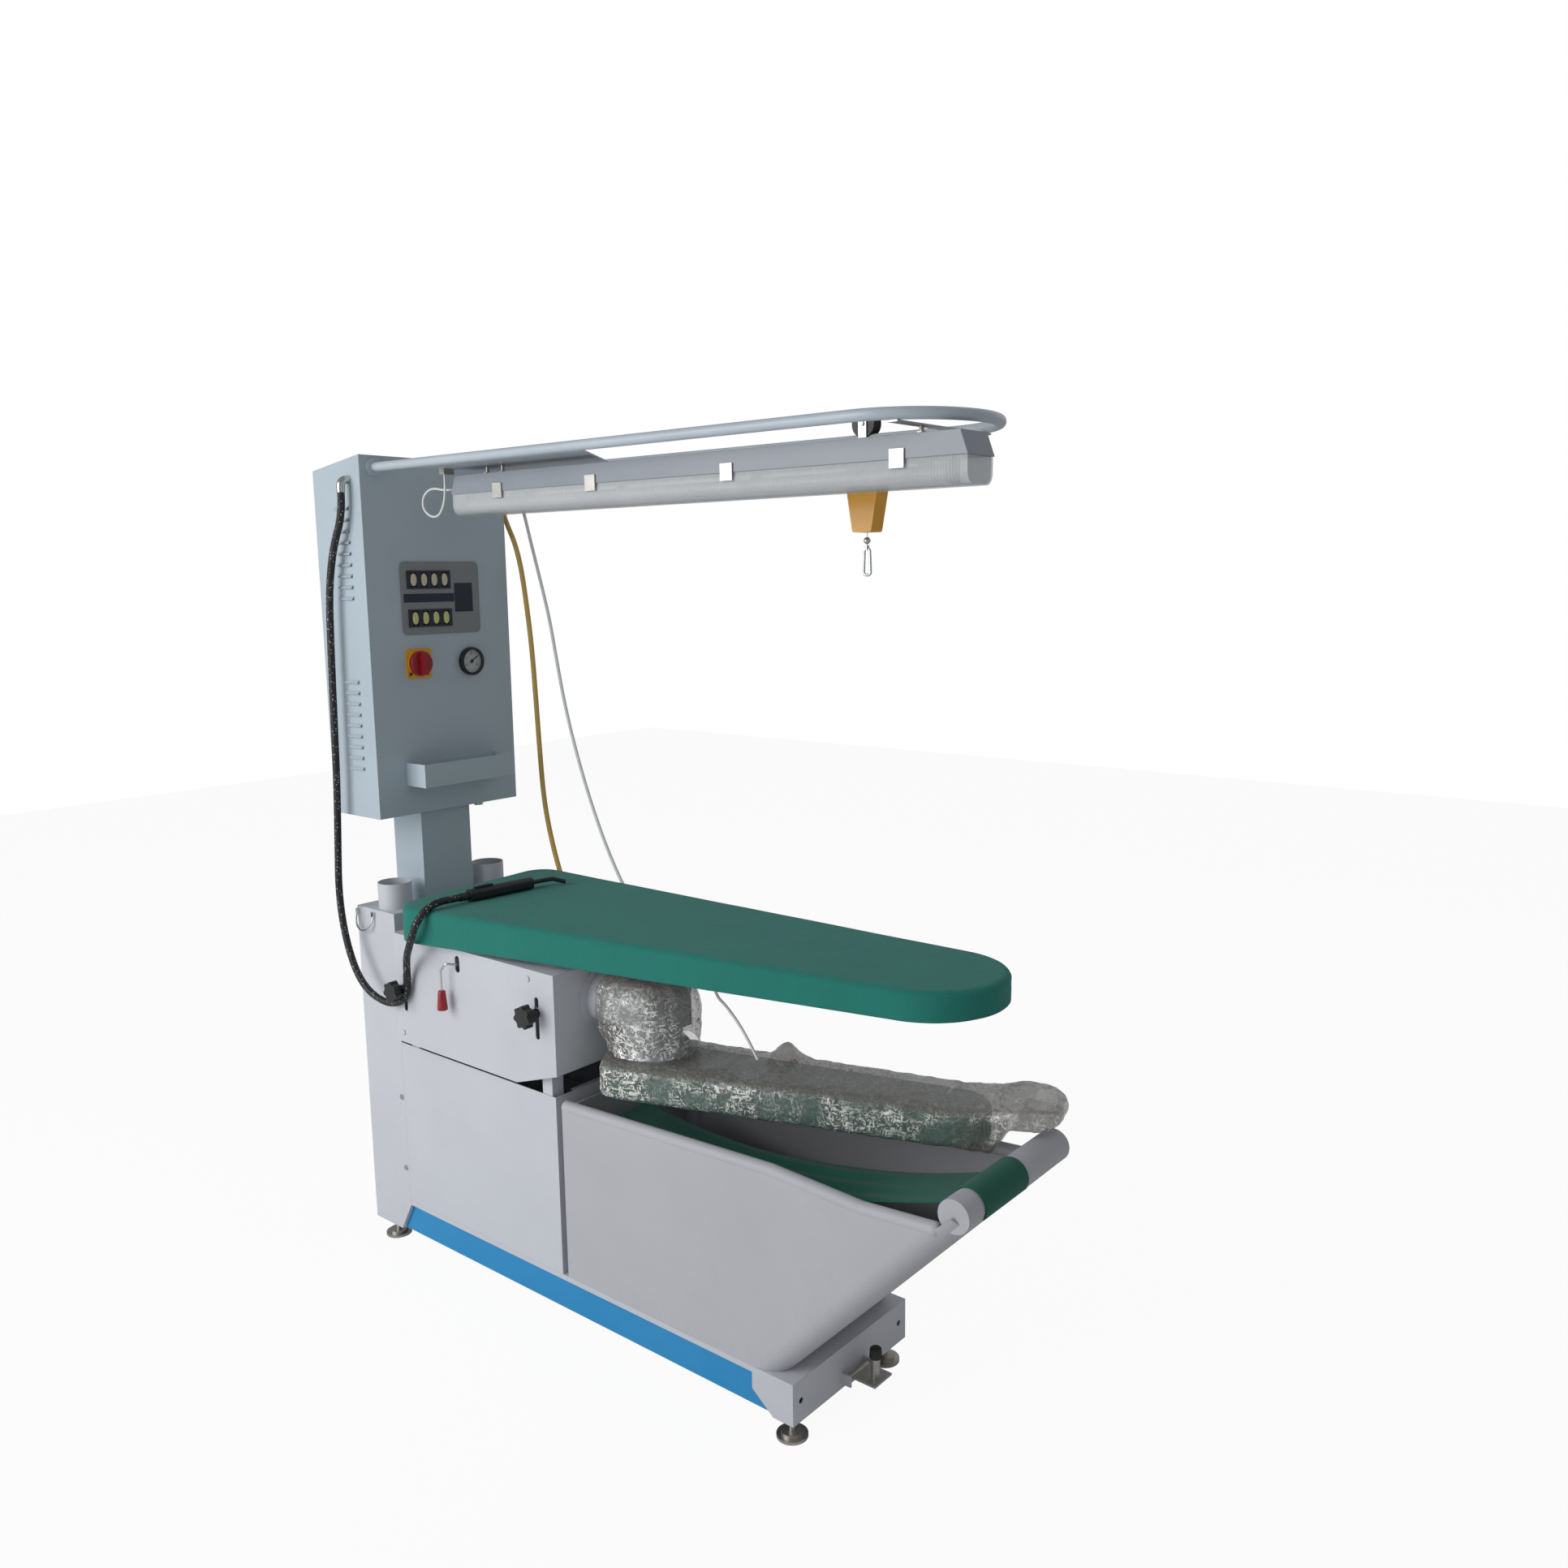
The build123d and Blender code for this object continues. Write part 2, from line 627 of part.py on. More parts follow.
# Column between the post and the control box
with BuildPart() as support_column:
    slab((0, COLUMN_DEPTH), (-COLUMN_HALF, COLUMN_HALF), (POST_TOP, BOX_BOTTOM))
    slab(
        (POST_SHEET, COLUMN_DEPTH - POST_SHEET),
        (POST_SHEET - COLUMN_HALF, COLUMN_HALF - POST_SHEET),
        (POST_TOP, BOX_BOTTOM),
        Mode.SUBTRACT,
    )
support_column.part.label = "support_column"
export_step(support_column.part, "parts/support_column.step")

# Dome head screws in the post and the box cover
SCREW_HEAD = 6
SCREW_PROUD = 2.5
with BuildPart() as panel_screws:
    for sign in (-1, 1):
        for screw_z in (208, 384):
            disc(side(sign * HALF_WIDTH), (POST_DEPTH - 11, screw_z), SCREW_HEAD, -sign * SCREW_PROUD)
        for screw_z in (BOX_BOTTOM + 30, (BOX_BOTTOM + BOX_TOP_REAR) / 2, BOX_TOP_REAR - 30):
            disc(front(BOX_REAR - SHEET), (sign * (BOX_HALF - 20), screw_z), SCREW_HEAD, -SCREW_PROUD)
panel_screws.part.label = "panel_screws"
export_step(panel_screws.part, "parts/panel_screws.step")

# Vacuum unit: scroll with its inlet socket, motor and impeller
with BuildPart() as blower_housing:
    with BuildSketch(plan(SCROLL_Z[0])) as scroll:
        with Locations((NECK_X, 0)):
            Circle(SCROLL_RADIUS)
        with Locations(((POST_DEPTH + NECK_X) / 2, sum(SCROLL_PORT_Y) / 2)):
            Rectangle(NECK_X - POST_DEPTH, SCROLL_PORT_Y[1] - SCROLL_PORT_Y[0])
    extrude(scroll.sketch, amount=SCROLL_Z[1] - SCROLL_Z[0])
    with BuildSketch(plan(SCROLL_Z[0] + SHEET)) as cavity:
        with Locations((NECK_X, 0)):
            Circle(SCROLL_RADIUS - SHEET)
        with Locations(((POST_DEPTH + NECK_X) / 2, sum(SCROLL_PORT_Y) / 2)):
            Rectangle(NECK_X - POST_DEPTH, SCROLL_PORT_Y[1] - SCROLL_PORT_Y[0] - 2 * SHEET)
    extrude(cavity.sketch, amount=SCROLL_Z[1] - SCROLL_Z[0] - 2 * SHEET, mode=Mode.SUBTRACT)
    socket_in = NECK_RADIUS + 1.5
    disc(plan(SCROLL_Z[1] - SHEET), (NECK_X, 0), socket_in + SHEET, SOCKET_TOP - SCROLL_Z[1] + SHEET)
    disc(plan(SCROLL_Z[1] - SHEET), (NECK_X, 0), socket_in, SOCKET_TOP - SCROLL_Z[1] + SHEET,
         Mode.SUBTRACT)
    disc(plan(SCROLL_Z[0]), (NECK_X, 0), SHAFT_RADIUS + 3, SHEET, Mode.SUBTRACT)
    leg_foot = SILL_TOP + DECK_THICKNESS
    for leg in range(4):
        spot = (
            NECK_X + (SCROLL_RADIUS - 25) * cos(radians(45 + 90 * leg)),
            (SCROLL_RADIUS - 25) * sin(radians(45 + 90 * leg)),
        )
        disc(plan(leg_foot), spot, 10, SCROLL_Z[0] - leg_foot)
blower_housing.part.label = "blower_housing"
export_step(blower_housing.part, "parts/blower_housing.step")

MOTOR_FLANGE = 12
with BuildPart() as blower_motor:
    motor_foot = SILL_TOP + DECK_THICKNESS
    disc(plan(motor_foot), (NECK_X, 0), MOTOR_RADIUS - 5, SCROLL_Z[0] - motor_foot)
    disc(plan(SCROLL_Z[0] - MOTOR_FLANGE), (NECK_X, 0), MOTOR_RADIUS + 12, MOTOR_FLANGE)
    fin_length = SCROLL_Z[0] - MOTOR_FLANGE - motor_foot - 20
    for fin in range(MOTOR_FINS):
        way = 360 * fin / MOTOR_FINS
        with BuildSketch(turned(NECK_X, 0, motor_foot + 20, way)) as rib:
            with Locations((MOTOR_RADIUS - 4, 0)):
                Rectangle(8, 3)
        extrude(rib.sketch, amount=fin_length)
    slab((NECK_X + 60, NECK_X + 105), (-28, 28), (motor_foot + 50, motor_foot + 110))
    disc(plan(SCROLL_Z[0] - 40), (NECK_X, 0), SHAFT_RADIUS + RUNNING_FIT, 40, Mode.SUBTRACT)
blower_motor.part.label = "blower_motor"
export_step(blower_motor.part, "parts/blower_motor.step")

impeller_floor = SCROLL_Z[0] + 12
blade_height = 55
with BuildPart() as blower_impeller:
    disc(plan(SCROLL_Z[0] - 39), (NECK_X, 0), SHAFT_RADIUS, impeller_floor - SCROLL_Z[0] + 39 + 25)
    disc(plan(impeller_floor), (NECK_X, 0), IMPELLER_RADIUS, 3)
    disc(plan(impeller_floor), (NECK_X, 0), 22, 25)
    for blade in range(IMPELLER_BLADES):
        way = 360 * blade / IMPELLER_BLADES
        with BuildSketch(turned(NECK_X, 0, impeller_floor + 3, way)) as vane:
            with Locations(Location((82, 0, 0), (0, 0, 25))):
                Rectangle(56, 2.5)
        extrude(vane.sketch, amount=blade_height)
    ring(plan(impeller_floor + 3 + blade_height), (NECK_X, 0), IMPELLER_RADIUS, 72, 2.5)
blower_impeller.part.label = "blower_impeller"
export_step(blower_impeller.part, "parts/blower_impeller.step")

# Control box shell, open at the back, with louvres in both sides
box_outline = (
    (BOX_REAR, BOX_BOTTOM), (BOX_FRONT, BOX_BOTTOM),
    (BOX_FRONT, BOX_TOP_FRONT), (BOX_REAR, BOX_TOP_REAR),
)
box_hollow = (
    (BOX_REAR, BOX_BOTTOM + SHEET), (BOX_FRONT - SHEET, BOX_BOTTOM + SHEET),
    (BOX_FRONT - SHEET, BOX_TOP_FRONT - SHEET), (BOX_REAR, BOX_TOP_REAR - SHEET),
)
louvre_heights = [start + LOUVRE_PITCH * row for start in LOUVRE_STARTS for row in range(LOUVRE_COUNT)]
rocker_centres = [
    sum(WINDOW_Y) / 2 + ROCKER_PITCH * (n - (ROCKERS_PER_ROW - 1) / 2) for n in range(ROCKERS_PER_ROW)
]
with BuildPart() as control_box:
    prism(side(BOX_HALF), box_outline, 2 * BOX_HALF)
    prism(side(BOX_HALF - SHEET), box_hollow, 2 * (BOX_HALF - SHEET), Mode.SUBTRACT)
    for sign in (-1, 1):
        wall = sign * BOX_HALF
        for low in louvre_heights:
            hood_line = (
                (wall - sign, low + 9), (wall + sign * 5.5, low + 2), (wall + sign * 5.5, low),
                (wall + sign * 4, low), (wall + sign * 4, low + 1.5), (wall - sign, low + 6.8),
            )
            prism(front(LOUVRE_X[0]), hood_line, LOUVRE_X[1] - LOUVRE_X[0])
    for sign in (-1, 1):
        with BuildSketch(side(sign * BOX_HALF)) as slots:
            with Locations(*[(sum(LOUVRE_X) / 2, low + LOUVRE_SLOT / 2) for low in louvre_heights]):
                Rectangle(LOUVRE_X[1] - LOUVRE_X[0] - 6, LOUVRE_SLOT)
        extrude(slots.sketch, amount=sign * 3 * SHEET / 2, mode=Mode.SUBTRACT)
    for low, high in WINDOW_ROWS:
        slab((BOX_FRONT - SHEET, BOX_FRONT), (WINDOW_Y[0], WINDOW_Y[1]), (low, high), Mode.SUBTRACT)
    disc(front(BOX_FRONT - SHEET), (SWITCH_Y, SWITCH_Z), 11, SHEET, Mode.SUBTRACT)
    disc(front(BOX_FRONT - SHEET), (GAUGE_Y, GAUGE_Z), GAUGE_BODY + FACE_GAP, SHEET, Mode.SUBTRACT)
    for sign in (-1, 1):
        disc(front(BOX_FRONT - SHEET), (sign * RAIL_HALF, RAIL_Z), RAIL_RADIUS - RAIL_WALL, SHEET,
             Mode.SUBTRACT)
    disc(plan(BOX_BOTTOM), (COLUMN_DEPTH / 2, 0), 40, SHEET, Mode.SUBTRACT)
control_box.part.label = "control_box"
export_step(control_box.part, "parts/control_box.step")

with BuildPart() as box_back_cover:
    slab((BOX_REAR - SHEET, BOX_REAR), (-BOX_HALF, BOX_HALF), (BOX_BOTTOM, BOX_TOP_REAR))
box_back_cover.part.label = "box_back_cover"
export_step(box_back_cover.part, "parts/box_back_cover.step")

# Mounting plate with its rail and contactors inside the box
PLATE_GAP = 4
with BuildPart() as contactor_rail:
    plate_x = BOX_REAR + PLATE_GAP
    slab((plate_x, plate_x + SHEET), (-150, 150), (1120, 1500))
    for sign in (-1, 1):
        for post_z in (1140, 1480):
            disc(front(BOX_REAR), (sign * 135, post_z), 6, PLATE_GAP)
    slab((plate_x + SHEET, plate_x + 10), (-140, 140), (1395, 1430))
    for slot in range(4):
        left = -128 + 60 * slot
        slab((plate_x + 10, plate_x + 80), (left, left + 45), (1375, 1450))
    slab((plate_x + SHEET, plate_x + 70), (-120, -30), (1170, 1270))
contactor_rail.part.label = "contactor_rail"
export_step(contactor_rail.part, "parts/contactor_rail.step")

# Key panel with windows for the rocker frames
key_front = BOX_FRONT + SHEET
with BuildPart() as key_panel:
    with BuildSketch(front(BOX_FRONT)):
        with Locations((sum(PANEL_Y) / 2, sum(PANEL_Z) / 2)):
            RectangleRounded(PANEL_Y[1] - PANEL_Y[0], PANEL_Z[1] - PANEL_Z[0], PANEL_ROUND)
        for low, high in WINDOW_ROWS:
            with Locations((sum(WINDOW_Y) / 2, (low + high) / 2)):
                Rectangle(WINDOW_Y[1] - WINDOW_Y[0], high - low, mode=Mode.SUBTRACT)
    extrude(amount=SHEET)
key_panel.part.label = "key_panel"
export_step(key_panel.part, "parts/key_panel.step")

# Two rocker frames and the dark display windows
rocker_axis_x = key_front - 6
with BuildPart() as rocker_frames:
    for low, high in WINDOW_ROWS:
        middle = (low + high) / 2
        slab((key_front - FRAME_DEPTH, key_front), WINDOW_Y, (low, high))
        slab(
            (key_front, key_front + FRAME_LIP),
            (WINDOW_Y[0] - FRAME_LIP, WINDOW_Y[1] + FRAME_LIP),
            (low - FRAME_LIP, high + FRAME_LIP),
        )
        pocket_half = ROCKER_HEIGHT / 2 + POCKET_MARGIN
        for centre in rocker_centres:
            slab(
                (key_front - FRAME_DEPTH + SHEET, key_front + FRAME_LIP),
                (centre - ROCKER_WIDTH / 2 - FACE_GAP, centre + ROCKER_WIDTH / 2 + FACE_GAP),
                (middle - pocket_half, middle + pocket_half),
                Mode.SUBTRACT,
            )
        bore = ROCKER_PIN + RUNNING_FIT
        disc(side(rocker_centres[-1] + 11), (rocker_axis_x, middle), bore,
             rocker_centres[-1] - rocker_centres[0] + 22, Mode.SUBTRACT)
    for (y_low, y_high), (z_low, z_high) in (DARK_BAR, DARK_SQUARE):
        slab((key_front, key_front + DISPLAY_PROUD), (y_low, y_high), (z_low, z_high))
rocker_frames.part.label = "rocker_frames"
export_step(rocker_frames.part, "parts/rocker_frames.step")

# Eight oval rockers, each on its own pin
for row, (low, high) in enumerate(WINDOW_ROWS):
    middle = (low + high) / 2
    for column, centre in enumerate(rocker_centres):
        number = row * ROCKERS_PER_ROW + column + 1
        rocker_rear = key_front + FRAME_LIP + ROCKER_PROUD - ROCKER_DEPTH
        with BuildPart() as rocker:
            with BuildSketch(front(rocker_rear + 6)) as face:
                with Locations((centre, middle)):
                    Ellipse(ROCKER_WIDTH / 2, ROCKER_HEIGHT / 2)
            extrude(face.sketch, amount=ROCKER_DEPTH - 6)
            fillet(rocker.edges().sort_by(Axis.X)[-1], 2)
            slab(
                (rocker_rear, rocker_rear + 6),
                (centre - ROCKER_WIDTH / 2 + 3, centre + ROCKER_WIDTH / 2 - 3),
                (middle - 6, middle + 6),
            )
            disc(side(centre + ROCKER_WIDTH / 2 + 2), (rocker_axis_x, middle), ROCKER_PIN,
                 ROCKER_WIDTH + 4)
        rocker.part.label = f"rocker_{number}"
        export_step(rocker.part, f"parts/rocker_{number}.step")

# Rotary main switch on its square plate
with BuildPart() as switch_plate:
    with BuildSketch(front(BOX_FRONT)):
        with Locations((SWITCH_Y, SWITCH_Z)):
            RectangleRounded(SWITCH_PLATE, SWITCH_PLATE, 5)
            Circle(SWITCH_SHAFT + RUNNING_FIT, mode=Mode.SUBTRACT)
        with Locations((SWITCH_Y - SWITCH_PLATE / 2 + 6, SWITCH_Z - SWITCH_PLATE / 2 + 6)):
            Circle(2.5, mode=Mode.SUBTRACT)
    extrude(amount=SWITCH_PLATE_THICKNESS)
    ring(front(BOX_FRONT + SWITCH_PLATE_THICKNESS), (SWITCH_Y, SWITCH_Z), SWITCH_COLLAR,
         SWITCH_SHAFT + RUNNING_FIT, 3)
switch_plate.part.label = "switch_plate"
export_step(switch_plate.part, "parts/switch_plate.step")

knob_back = BOX_FRONT + SWITCH_PLATE_THICKNESS + 3 + FACE_GAP
with BuildPart() as switch_knob:
    disc(front(knob_back), (SWITCH_Y, SWITCH_Z), KNOB_RADIUS, 10)
    fillet(switch_knob.edges().filter_by(GeomType.CIRCLE).sort_by(Axis.X)[-1], 3)
    slab(
        (knob_back + 10, KNOB_FRONT), (SWITCH_Y - 6.5, SWITCH_Y + 6.5),
        (SWITCH_Z - KNOB_RADIUS + 3, SWITCH_Z + KNOB_RADIUS - 3),
    )
    disc(front(BOX_FRONT - 14), (SWITCH_Y, SWITCH_Z), SWITCH_SHAFT, knob_back - BOX_FRONT + 14)
switch_knob.part.label = "switch_knob"
export_step(switch_knob.part, "parts/switch_knob.step")

# Pressure gauge with its needle
dial_face = BOX_FRONT + GAUGE_PROUD - 8
with BuildPart() as gauge_case:
    disc(front(BOX_FRONT), (GAUGE_Y, GAUGE_Z), GAUGE_FLANGE, GAUGE_PROUD)
    fillet(gauge_case.edges().filter_by(GeomType.CIRCLE).sort_by(Axis.X)[-1], 2.5)
    disc(front(BOX_FRONT - GAUGE_DEPTH), (GAUGE_Y, GAUGE_Z), GAUGE_BODY, GAUGE_DEPTH)
    disc(front(dial_face), (GAUGE_Y, GAUGE_Z), GAUGE_BODY, GAUGE_PROUD, Mode.SUBTRACT)
    disc(front(dial_face - 6), (GAUGE_Y, GAUGE_Z), 1.5 + RUNNING_FIT, 6, Mode.SUBTRACT)
gauge_case.part.label = "gauge_case"
export_step(gauge_case.part, "parts/gauge_case.step")

with BuildPart() as gauge_needle:
    disc(front(dial_face - 5), (GAUGE_Y, GAUGE_Z), 1.5, 8.5)
    disc(front(dial_face + 1.5), (GAUGE_Y, GAUGE_Z), 4, 1.5)
    with BuildSketch(front(dial_face + 1.5)) as pointer:
        with Locations(Location((GAUGE_Y, GAUGE_Z, 0), (0, 0, NEEDLE_ANGLE))):
            Polygon((-6, -1.5), (NEEDLE_LENGTH, -0.5), (NEEDLE_LENGTH, 0.5), (-6, 1.5), align=None)
    extrude(pointer.sketch, amount=1)
gauge_needle.part.label = "gauge_needle"
export_step(gauge_needle.part, "parts/gauge_needle.step")

# Tool tray below the switches
with BuildPart() as tool_tray:
    slab((BOX_FRONT, BOX_FRONT + TRAY_DEPTH), TRAY_Y, TRAY_Z)
    slab(
        (BOX_FRONT + SHEET, BOX_FRONT + TRAY_DEPTH - SHEET),
        (TRAY_Y[0] + SHEET, TRAY_Y[1] - SHEET),
        (TRAY_Z[0] + SHEET, TRAY_Z[1]),
        Mode.SUBTRACT,
    )
tool_tray.part.label = "tool_tray"
export_step(tool_tray.part, "parts/tool_tray.step")

# Hose fittings on the box: elbows, cable gland, lamp lead gland and the wire ring on the post
ELBOW_WALL = 3


def hose_elbow(start, drop, hose):
    """Add an elbow that leaves a side wall and turns down to the end of its hose."""
    x, wall, z = start
    with BuildLine() as bend:
        FilletPolyline(at(x, wall, z), at(x, drop[1], z), at(x, drop[1], drop[2]),
                       radius=0.8 * abs(drop[1] - wall))
    with BuildSketch(Plane(origin=bend.line @ 0, z_dir=bend.line % 0)) as section:
        Circle(hose / 2 + ELBOW_WALL)
    sweep(section.sketch, path=bend.line)


with BuildPart() as hose_fittings:
    gun_end = GUN_HOSE_ROUTE[0]
    hose_elbow((gun_end[0], -BOX_HALF, 1796), gun_end, GUN_HOSE - 4)
    yellow_end = YELLOW_HOSE_ROUTE[0]
    hose_elbow((yellow_end[0], BOX_HALF, 1803), yellow_end, YELLOW_HOSE)
    white_end = WHITE_CABLE_ROUTE[0]
    disc(side(BOX_HALF), (white_end[0], white_end[2]), WHITE_CABLE / 2 + ELBOW_WALL,
         BOX_HALF - white_end[1])
    ring(plan(BOX_BOTTOM - 15), (80, 120), 11, 6, 15)
    with BuildLine() as loop:
        ThreePointArc(at(4, -HALF_WIDTH - 2, 812), at(35, -HALF_WIDTH - 14, 772),
                      at(66, -HALF_WIDTH - 2, 812))
    with BuildSketch(Plane(origin=loop.line @ 0, z_dir=loop.line % 0)) as wire:
        Circle(2)
    sweep(wire.sketch, path=loop.line)
    for lug in (4, 66):
        slab((lug - 5, lug + 5), (-HALF_WIDTH - 5, -HALF_WIDTH), (806, 818))
hose_fittings.part.label = "hose_fittings"
export_step(hose_fittings.part, "parts/hose_fittings.step")

# U-shaped rail with its gusset plate and wall flanges
with BuildPart() as rail_hoop:
    with BuildLine() as track:
        nose_start = RAIL_NOSE - RAIL_HALF
        near_leg = Line(at(BOX_FRONT, -RAIL_HALF, RAIL_Z), at(nose_start, -RAIL_HALF, RAIL_Z))
        nose = ThreePointArc(near_leg @ 1, at(RAIL_NOSE, 0, RAIL_Z), at(nose_start, RAIL_HALF, RAIL_Z))
        Line(nose @ 1, at(BOX_FRONT, RAIL_HALF, RAIL_Z))
    with BuildSketch(Plane(origin=track.line @ 0, z_dir=track.line % 0)) as tube:
        Circle(RAIL_RADIUS)
        Circle(RAIL_RADIUS - RAIL_WALL, mode=Mode.SUBTRACT)
    sweep(tube.sketch, path=track.line)
    for sign in (-1, 1):
        ring(front(BOX_FRONT), (sign * RAIL_HALF, RAIL_Z), 2 * RAIL_RADIUS, RAIL_RADIUS, 4)
    gusset_z = RAIL_Z - RAIL_RADIUS
    inner_edge = RAIL_HALF - RAIL_RADIUS / 2
    gusset = (
        (GUSSET_X[0], -inner_edge), (GUSSET_X[2], -inner_edge),
        (GUSSET_X[1], inner_edge), (GUSSET_X[0], inner_edge),
    )
    prism(plan(gusset_z), gusset, GUSSET_THICKNESS)
rail_hoop.part.label = "rail_hoop"
export_step(rail_hoop.part, "parts/rail_hoop.step")

# Lamp: fittings, body, diffuser and tube
lamp_middle = sum(LAMP_Y) / 2
BOLT_RADIUS = 4
CLIP_SHEET = 3
with BuildPart() as lamp_fittings:
    slab((STRAP_X - STRAP_WIDTH / 2, STRAP_X + STRAP_WIDTH / 2), (-142, 142), (gusset_z - 3, gusset_z))
    disc(plan(LAMP_TOP), (STRAP_X, lamp_middle), BOLT_RADIUS, gusset_z - 3 - LAMP_TOP)
    hexagon(plan(LAMP_TOP), (STRAP_X, lamp_middle), 14, 6)
    for bolt_x in (400, 450):
        disc(plan(LAMP_TOP), (bolt_x, lamp_middle), BOLT_RADIUS, gusset_z - LAMP_TOP)
        hexagon(plan(LAMP_TOP), (bolt_x, lamp_middle), 14, 6)
    for place in CLIP_PLACES:
        for wall, sign in ((LAMP_Y[0], -1), (LAMP_Y[1], 1)):
            slab((place - 14, place + 14), tuple(sorted((wall, wall + sign * CLIP_SHEET))),
                 (LAMP_PARTING - 14, LAMP_PARTING + 16))
    slab((296, 312), (-104, -78), (1800, gusset_z))
lamp_fittings.part.label = "lamp_fittings"
export_step(lamp_fittings.part, "parts/lamp_fittings.step")

with BuildPart() as lamp_body:
    lamp_outline = (
        (LAMP_X[0], LAMP_PARTING), (LAMP_X[1], LAMP_PARTING),
        (LAMP_X[1] - LAMP_END_TAPER, LAMP_TOP), (LAMP_X[0] + LAMP_END_TAPER, LAMP_TOP),
    )
    prism(side(LAMP_Y[1]), lamp_outline, LAMP_Y[1] - LAMP_Y[0])
    slab((TUBE_X[0] - 10, TUBE_X[1] + 12), (LAMP_Y[0] + 5, LAMP_Y[1] - 5),
         (LAMP_PARTING, LAMP_TOP - 5), Mode.SUBTRACT)
    for socket_x in (TUBE_X[0] - 10, TUBE_X[1]):
        slab((socket_x, socket_x + 10), (lamp_middle - 14, lamp_middle + 14),
             (TUBE_Z - 16, LAMP_TOP - 5))
    ring(front(LAMP_X[0] - 10), (-84, 1768), 6, 0.5, 12)
lamp_body.part.label = "lamp_body"
export_step(lamp_body.part, "parts/lamp_body.step")

with BuildPart() as lamp_diffuser:
    slab((LAMP_X[0] + 2, LAMP_X[1] - 2), (LAMP_Y[0] + 2, LAMP_Y[1] - 2), (DIFFUSER_BOTTOM, LAMP_PARTING))
    fillet(lamp_diffuser.edges().filter_by(Axis.X).group_by(Axis.Z)[0], 20)
    with BuildSketch(front(LAMP_X[0] + 4)) as trough:
        with Locations((lamp_middle, (DIFFUSER_BOTTOM + SHEET + LAMP_PARTING) / 2)):
            RectangleRounded(LAMP_Y[1] - LAMP_Y[0] - 8, LAMP_PARTING - DIFFUSER_BOTTOM - SHEET, 18)
        with Locations((lamp_middle, LAMP_PARTING - 9)):
            Rectangle(LAMP_Y[1] - LAMP_Y[0] - 8, 18)
    extrude(trough.sketch, amount=LAMP_X[1] - LAMP_X[0] - 8, mode=Mode.SUBTRACT)
lamp_diffuser.part.label = "lamp_diffuser"
export_step(lamp_diffuser.part, "parts/lamp_diffuser.step")

with BuildPart() as lamp_tube:
    disc(front(TUBE_X[0]), (lamp_middle, TUBE_Z), TUBE_RADIUS, TUBE_X[1] - TUBE_X[0])
    disc(front(TUBE_X[0] + 20), (lamp_middle, TUBE_Z), TUBE_RADIUS - 1, TUBE_X[1] - TUBE_X[0] - 40,
         Mode.SUBTRACT)
lamp_tube.part.label = "lamp_tube"
export_step(lamp_tube.part, "parts/lamp_tube.step")

# Trolley: grooved wheel on the far leg in its strap
wheel_z = RAIL_Z + RAIL_RADIUS + WHEEL_TREAD + FACE_GAP
groove = RAIL_RADIUS + FACE_GAP
flange_start = sqrt(groove**2 - (wheel_z - RAIL_Z - WHEEL_FLANGE) ** 2)
with BuildPart() as trolley_wheel:
    axle_plane = Plane(origin=at(TROLLEY_X, RAIL_HALF, wheel_z), x_dir=(0, 1, 0), z_dir=(1, 0, 0))
    with BuildSketch(axle_plane) as half_section:
        with BuildLine():
            half = WHEEL_WIDTH / 2
            bore = WHEEL_AXLE + RUNNING_FIT
            Polyline((-flange_start, WHEEL_FLANGE), (-half, WHEEL_FLANGE), (-half, bore),
                     (half, bore), (half, WHEEL_FLANGE),
                     (flange_start, WHEEL_FLANGE))
            ThreePointArc((-flange_start, WHEEL_FLANGE), (0, WHEEL_TREAD), (flange_start, WHEEL_FLANGE))
        make_face()
    revolve(half_section.sketch, axis=Axis(axle_plane.origin, (0, 1, 0)))
trolley_wheel.part.label = "trolley_wheel"
export_step(trolley_wheel.part, "parts/trolley_wheel.step")

eye_z = BALANCER_TOP + 9
EYE_PIN = 3
with BuildPart() as trolley_strap:
    cheek_in = WHEEL_WIDTH / 2 + SLIDING_GAP
    for sign in (-1, 1):
        cheek = (RAIL_HALF + sign * cheek_in, RAIL_HALF + sign * (cheek_in + STRAP_SHEET))
        slab((TROLLEY_X - STRAP_HALF, TROLLEY_X + STRAP_HALF), tuple(sorted(cheek)),
             (eye_z - 7, wheel_z + 9))
    axle_start = RAIL_HALF + cheek_in + STRAP_SHEET + 3
    disc(side(axle_start), (TROLLEY_X, wheel_z), WHEEL_AXLE, 2 * (cheek_in + STRAP_SHEET + 3))
    disc(side(axle_start), (TROLLEY_X, eye_z), EYE_PIN, 2 * (cheek_in + STRAP_SHEET + 3))
trolley_strap.part.label = "trolley_strap"
export_step(trolley_strap.part, "parts/trolley_strap.step")

